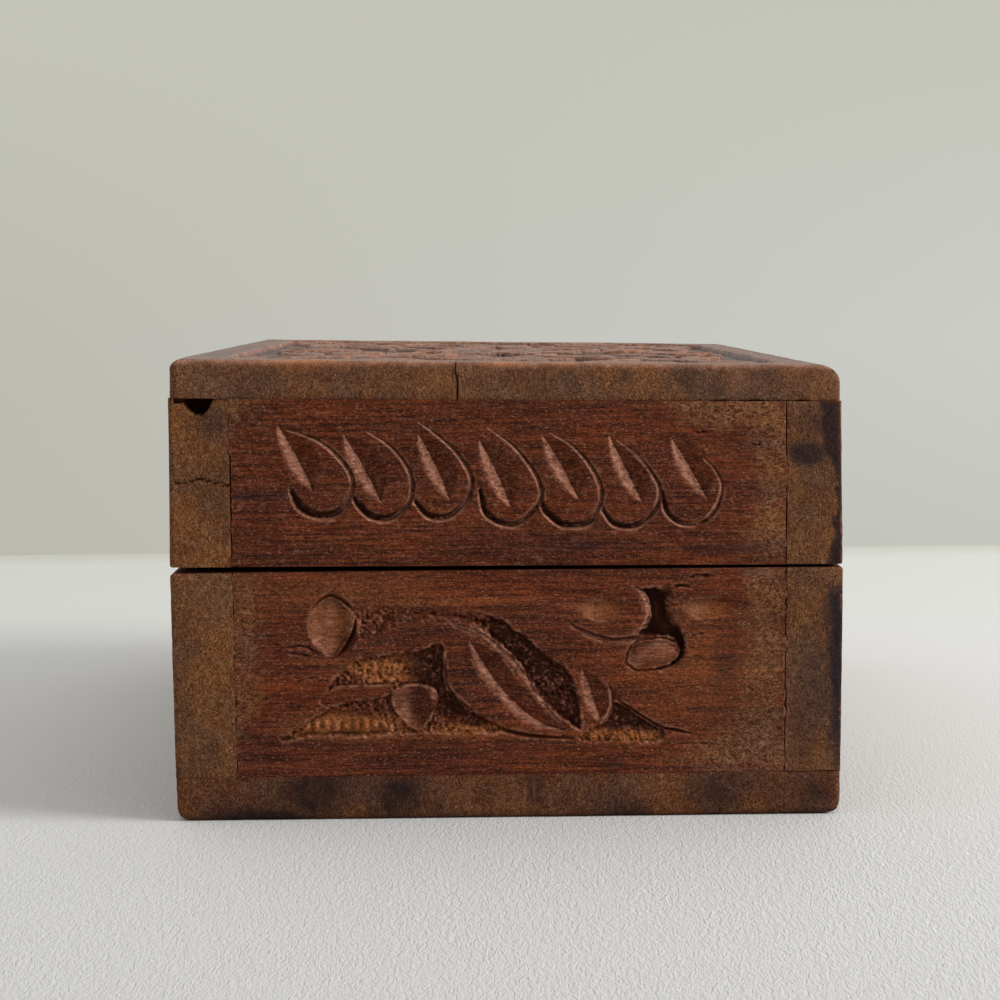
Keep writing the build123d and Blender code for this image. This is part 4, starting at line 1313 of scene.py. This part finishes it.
def top_carving(a, b):
    """The flowers and leaves of the top. Returns the depth, the pale chips and painted shade on the sunk
    ground.
    """
    flat = on_plane(a, b)
    rag = 0.2 * noise(flat, 0.9, 151)
    bent_a = np.abs(a) + 0.6 * noise(flat, 11, 152)
    bent_b = np.abs(b) + 0.6 * noise(flat, 9, 153)
    field = np.minimum(68.4 - np.abs(a), 43.0 - np.abs(b)) + rag
    corner = 12 - np.hypot(np.maximum(0, np.abs(a) - 56.4), np.maximum(0, np.abs(b) - 31.0)) + rag
    field = np.minimum(field, corner)
    ground = ramp(field / 0.7) * (0.92 + 0.22 * chips(a, b, 25, 1.5, 154))
    within, deep = flower(bent_a, bent_b, 0, 0, 8, 10.0, 6.6, 3.5, 4.2)
    side, side_deep = flower(bent_a, bent_b, 46, 0, 6, 7.2, 4.8, 3.2, 3.0)
    deep = np.where(side > within, side_deep, deep)
    within = np.maximum(within, side)
    leaves = (
        (18.0, 24.5, 8.5, 3.3, 35), (31.0, 33.5, 8.5, 3.3, -12), (47.5, 28.5, 8.5, 3.3, 30),
        (61.0, 19.5, 8.5, 3.3, 70), (30.0, 12.5, 8.5, 3.3, 50), (5.5, 32.5, 8.5, 3.3, 62),
        (59.5, 35.0, 5.5, 2.4, -35), (33.5, 22.5, 5.5, 2.4, 10),
    )
    for ca, cb, long_half, wide_half, angle in leaves:
        leaf = oval(bent_a, bent_b, ca, cb, long_half, wide_half, angle)
        c, s = math.cos(math.radians(angle)), math.sin(math.radians(angle))
        off = -(bent_a - ca) * s + (bent_b - cb) * c
        slope = np.abs(off + 0.5) / np.where(off + 0.5 > 0, 1.9, 1.1)
        cut = 0.12 + 0.62 * np.clip(1 - slope, 0, 1) * ramp(leaf)
        deep = np.where(leaf > within, cut, deep)
        within = np.maximum(within, leaf)
    for points in (
        [(12.0, 14.0), (20.0, 18.5), (30.0, 19.0), (38.0, 25.0), (46.0, 36.0), (54.0, 39.5), (62.0, 36.0)],
        [(38.0, 25.0), (47.0, 20.0), (56.0, 14.0), (64.0, 12.5)],
        [(14.0, 10.0), (22.0, 7.0), (31.0, 3.5), (37.5, 2.0)],
    ):
        distance, _, _ = along(bent_a, bent_b, spline(points), 2.0)
        stem = 0.95 - distance
        deep = np.where(stem > within, 0.35 - 0.2 * ramp(stem), deep)
        within = np.maximum(within, stem)
    island = ramp((within + 0.5 * rag + 0.15) / 0.5)
    depth = ground * (1 - island) + np.minimum(deep, ground) * island
    border = np.minimum(72.4 - np.abs(a), 47.0 - np.abs(b))
    depth = np.maximum(depth, 0.3 * np.clip(1 - np.abs(border) / 0.45, 0, 1))
    raw = 0.35 * ramp(field) * (1 - island) * chips(a, b, 25, 1.5, 154)
    # Painted shade darkening the sunk ground round the flowers and leaves.
    recess_shade = 0.7 * ramp(field / 0.8) * (1 - island)
    return depth, raw, recess_shade


# The top's long grain is lighter and greyer than the other boards': partly dust, partly a painted sheen.
top_wood = wood_material(
    "wood_top",
    grain="X",
    shift=(7.0, 29.0, 17.0),
    long_grain=((78, 49, 36), (136, 99, 76)),
    end_colours=((40, 18, 5), (121, 68, 28)),
    fibrous=0.7,
    roughness=0.40,
    shine=0.34,
)
across = np.append(lines(-top_y, top_y, 0.4), lines(6.0, 8.4, 0.1))
board, places, grid, face = plank(
    "top_carved",
    (0, 1, 2),
    lines(-top_x, top_x, 0.54),
    np.unique(np.round(across, 3)),
    lines(top_high, top_low, 0.3),
)
x, y, z = places.T.copy()
depth, raw, recess_shade = top_carving(x, y)
worn, valley = cavity(depth, grid, places)
places[:, 2] -= (depth + ripples(places, (16, 4, 2), 155, 0.07)) * face
at_end = np.abs(x) > top_x - 0.01
a = -y
splinter = [(-7.4, 68.6), (-7.5, 66.8), (-7.2, 65.2), (-7.3, 62.3)]
splinter = stroke(a, z, splinter, 0.17, 0.13, 0.9, (1, 0.7, 1, 1))
splinter = most(splinter, 0.3 * spots(a, z, (-6.2, 67.9, 1.6, 0.7))) * (x < 0)
torn = bits(places, (3, 0.42, 0.7), 156, -0.2) * 0.16 + ripples(places, 2.2, 157, 0.06)
places[:, 0] -= np.sign(x) * at_end * (torn + splinter)
at_side = np.abs(y) > top_y - 0.01
places[:, 1] -= np.sign(y) * at_side * ripples(places, (12, 2, 1.4), 158, 0.06)
wear = 0.35 * noise(places, 7, 159)
right = ramp((a - 20) / 25)
for side_y in (-top_y, top_y):
    ease_ends(places, top_x, wear, (1, side_y, 1.2, 0, 0, 2))
for side_x in (-top_x, top_x):
    ease(places, (0, side_x), (2, top_high), np.clip(1.0 + wear, 0.5, 1.6))
    ragged = 0.12 + 0.26 * right + 0.7 * bits(places, 1.3, 161) * (0.2 + 0.8 * right)
    ease(places, (0, side_x), (2, top_low), np.clip(ragged + 0.3 * wear, 0.05, 0.9))
for side_y in (-top_y, top_y):
    ease(places, (1, side_y), (2, top_high), np.clip(1.9 + wear + 1.4 * right, 1.4, 3.6))
    ease(places, (1, side_y), (2, top_low), 0.3)
places[:, 2] = risen(places, top_low, top_high, top_low_rise, top_high_rise)
end = ramp((np.abs(x) - (top_x - 0.6)) / 0.5) * ramp((top_high + 0.2 - z) / 0.8)
end_wear = (0.3 + bits(places, 0.9, 160)) * ramp((np.abs(x) - top_x + 1.4) / 1.2)
end_wear *= ramp((z - top_high + 1.2) / 0.8)
photo_end = x < -70
stain = 0.5 * spots(a, z, (27.0, 66.0, 2.4, 1.8), (18.0, 66.0, 1.4, 1.2), (32, 64.2, 3.0, 1.0)) * photo_end
pale_patch = 0.55 * spots(a, z, (35.0, 65.6, 1.6, 1.6), (49.3, 66.6, 0.9, 2.4)) * photo_end
pale_patch *= bits(places, 0.8, 162, 0.6)
# Painted highlight along the top edge of the near end.
rim_raw = 0.85 * spots(a, z, (-30, 68.0, 6.0, 0.9), (0.0, 68.0, 3.0, 0.6), (9.0, 68.0, 2.5, 0.5))
# Painted shade on the sunk ground, in the valleys and in the crack at the near end.
finish_board(
    board, places, "top_board", "carved_wood", "lid", top_wood,
    end=end,
    cut=most(most(recess_shade, 0.8 * valley) * face, np.clip(splinter * 1.5, 0, 1)),
    worn=most(worn * face, end_wear, pale_patch),
    raw=most(raw * face, rim_raw * (x < -74.4)),
    stain=stain,
)

# Two brass butt hinges are let into the back rims and screwed down: pressed leaves with rolled knuckles,
# pins with peened ends and slotted countersunk screws. The brass is brown with age in clouds, and bright
# between them.
brass, tree, shader, place = new_material("aged_brass")
cloud = put(tree, "ShaderNodeTexNoise", {"Vector": place, "Scale": 420.0, "Detail": 5.0, "Roughness": 0.65})
cloudy = ramped(tree, cloud.outputs["Fac"], 0.35, 0.68)
tree.links.new(mixed(tree, cloudy, linear(176, 140, 82), linear(92, 68, 40)), shader.inputs["Base Color"])
tree.links.new(ramped(tree, cloudy, 0, 1, 0.28, 0.55), shader.inputs["Roughness"])
shader.inputs["Metallic"].default_value = 1.0
scratches = lumpy(tree, place, (60, 1500, 1500), 3.0)
bump = put(tree, "ShaderNodeBump", {"Height": scratches, "Distance": 0.00004, "Strength": 0.4})
tree.links.new(bump.outputs[0], shader.inputs["Normal"])
iron, tree, shader, place = new_material("dark_iron")
rust = put(tree, "ShaderNodeTexNoise", {"Vector": place, "Scale": 900.0, "Detail": 4.0})
rusty = ramped(tree, rust.outputs["Fac"], 0.4, 0.65)
tree.links.new(mixed(tree, rusty, linear(74, 70, 68), linear(92, 58, 40)), shader.inputs["Base Color"])
shader.inputs["Metallic"].default_value = 0.8
shader.inputs["Roughness"].default_value = 0.6
for name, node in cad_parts.items():
    if "hinge" in name or "brads" in name:
        node.data.materials.clear()
        node.data.materials.append(brass if "hinge" in name else iron)

bpy.context.view_layer.update()
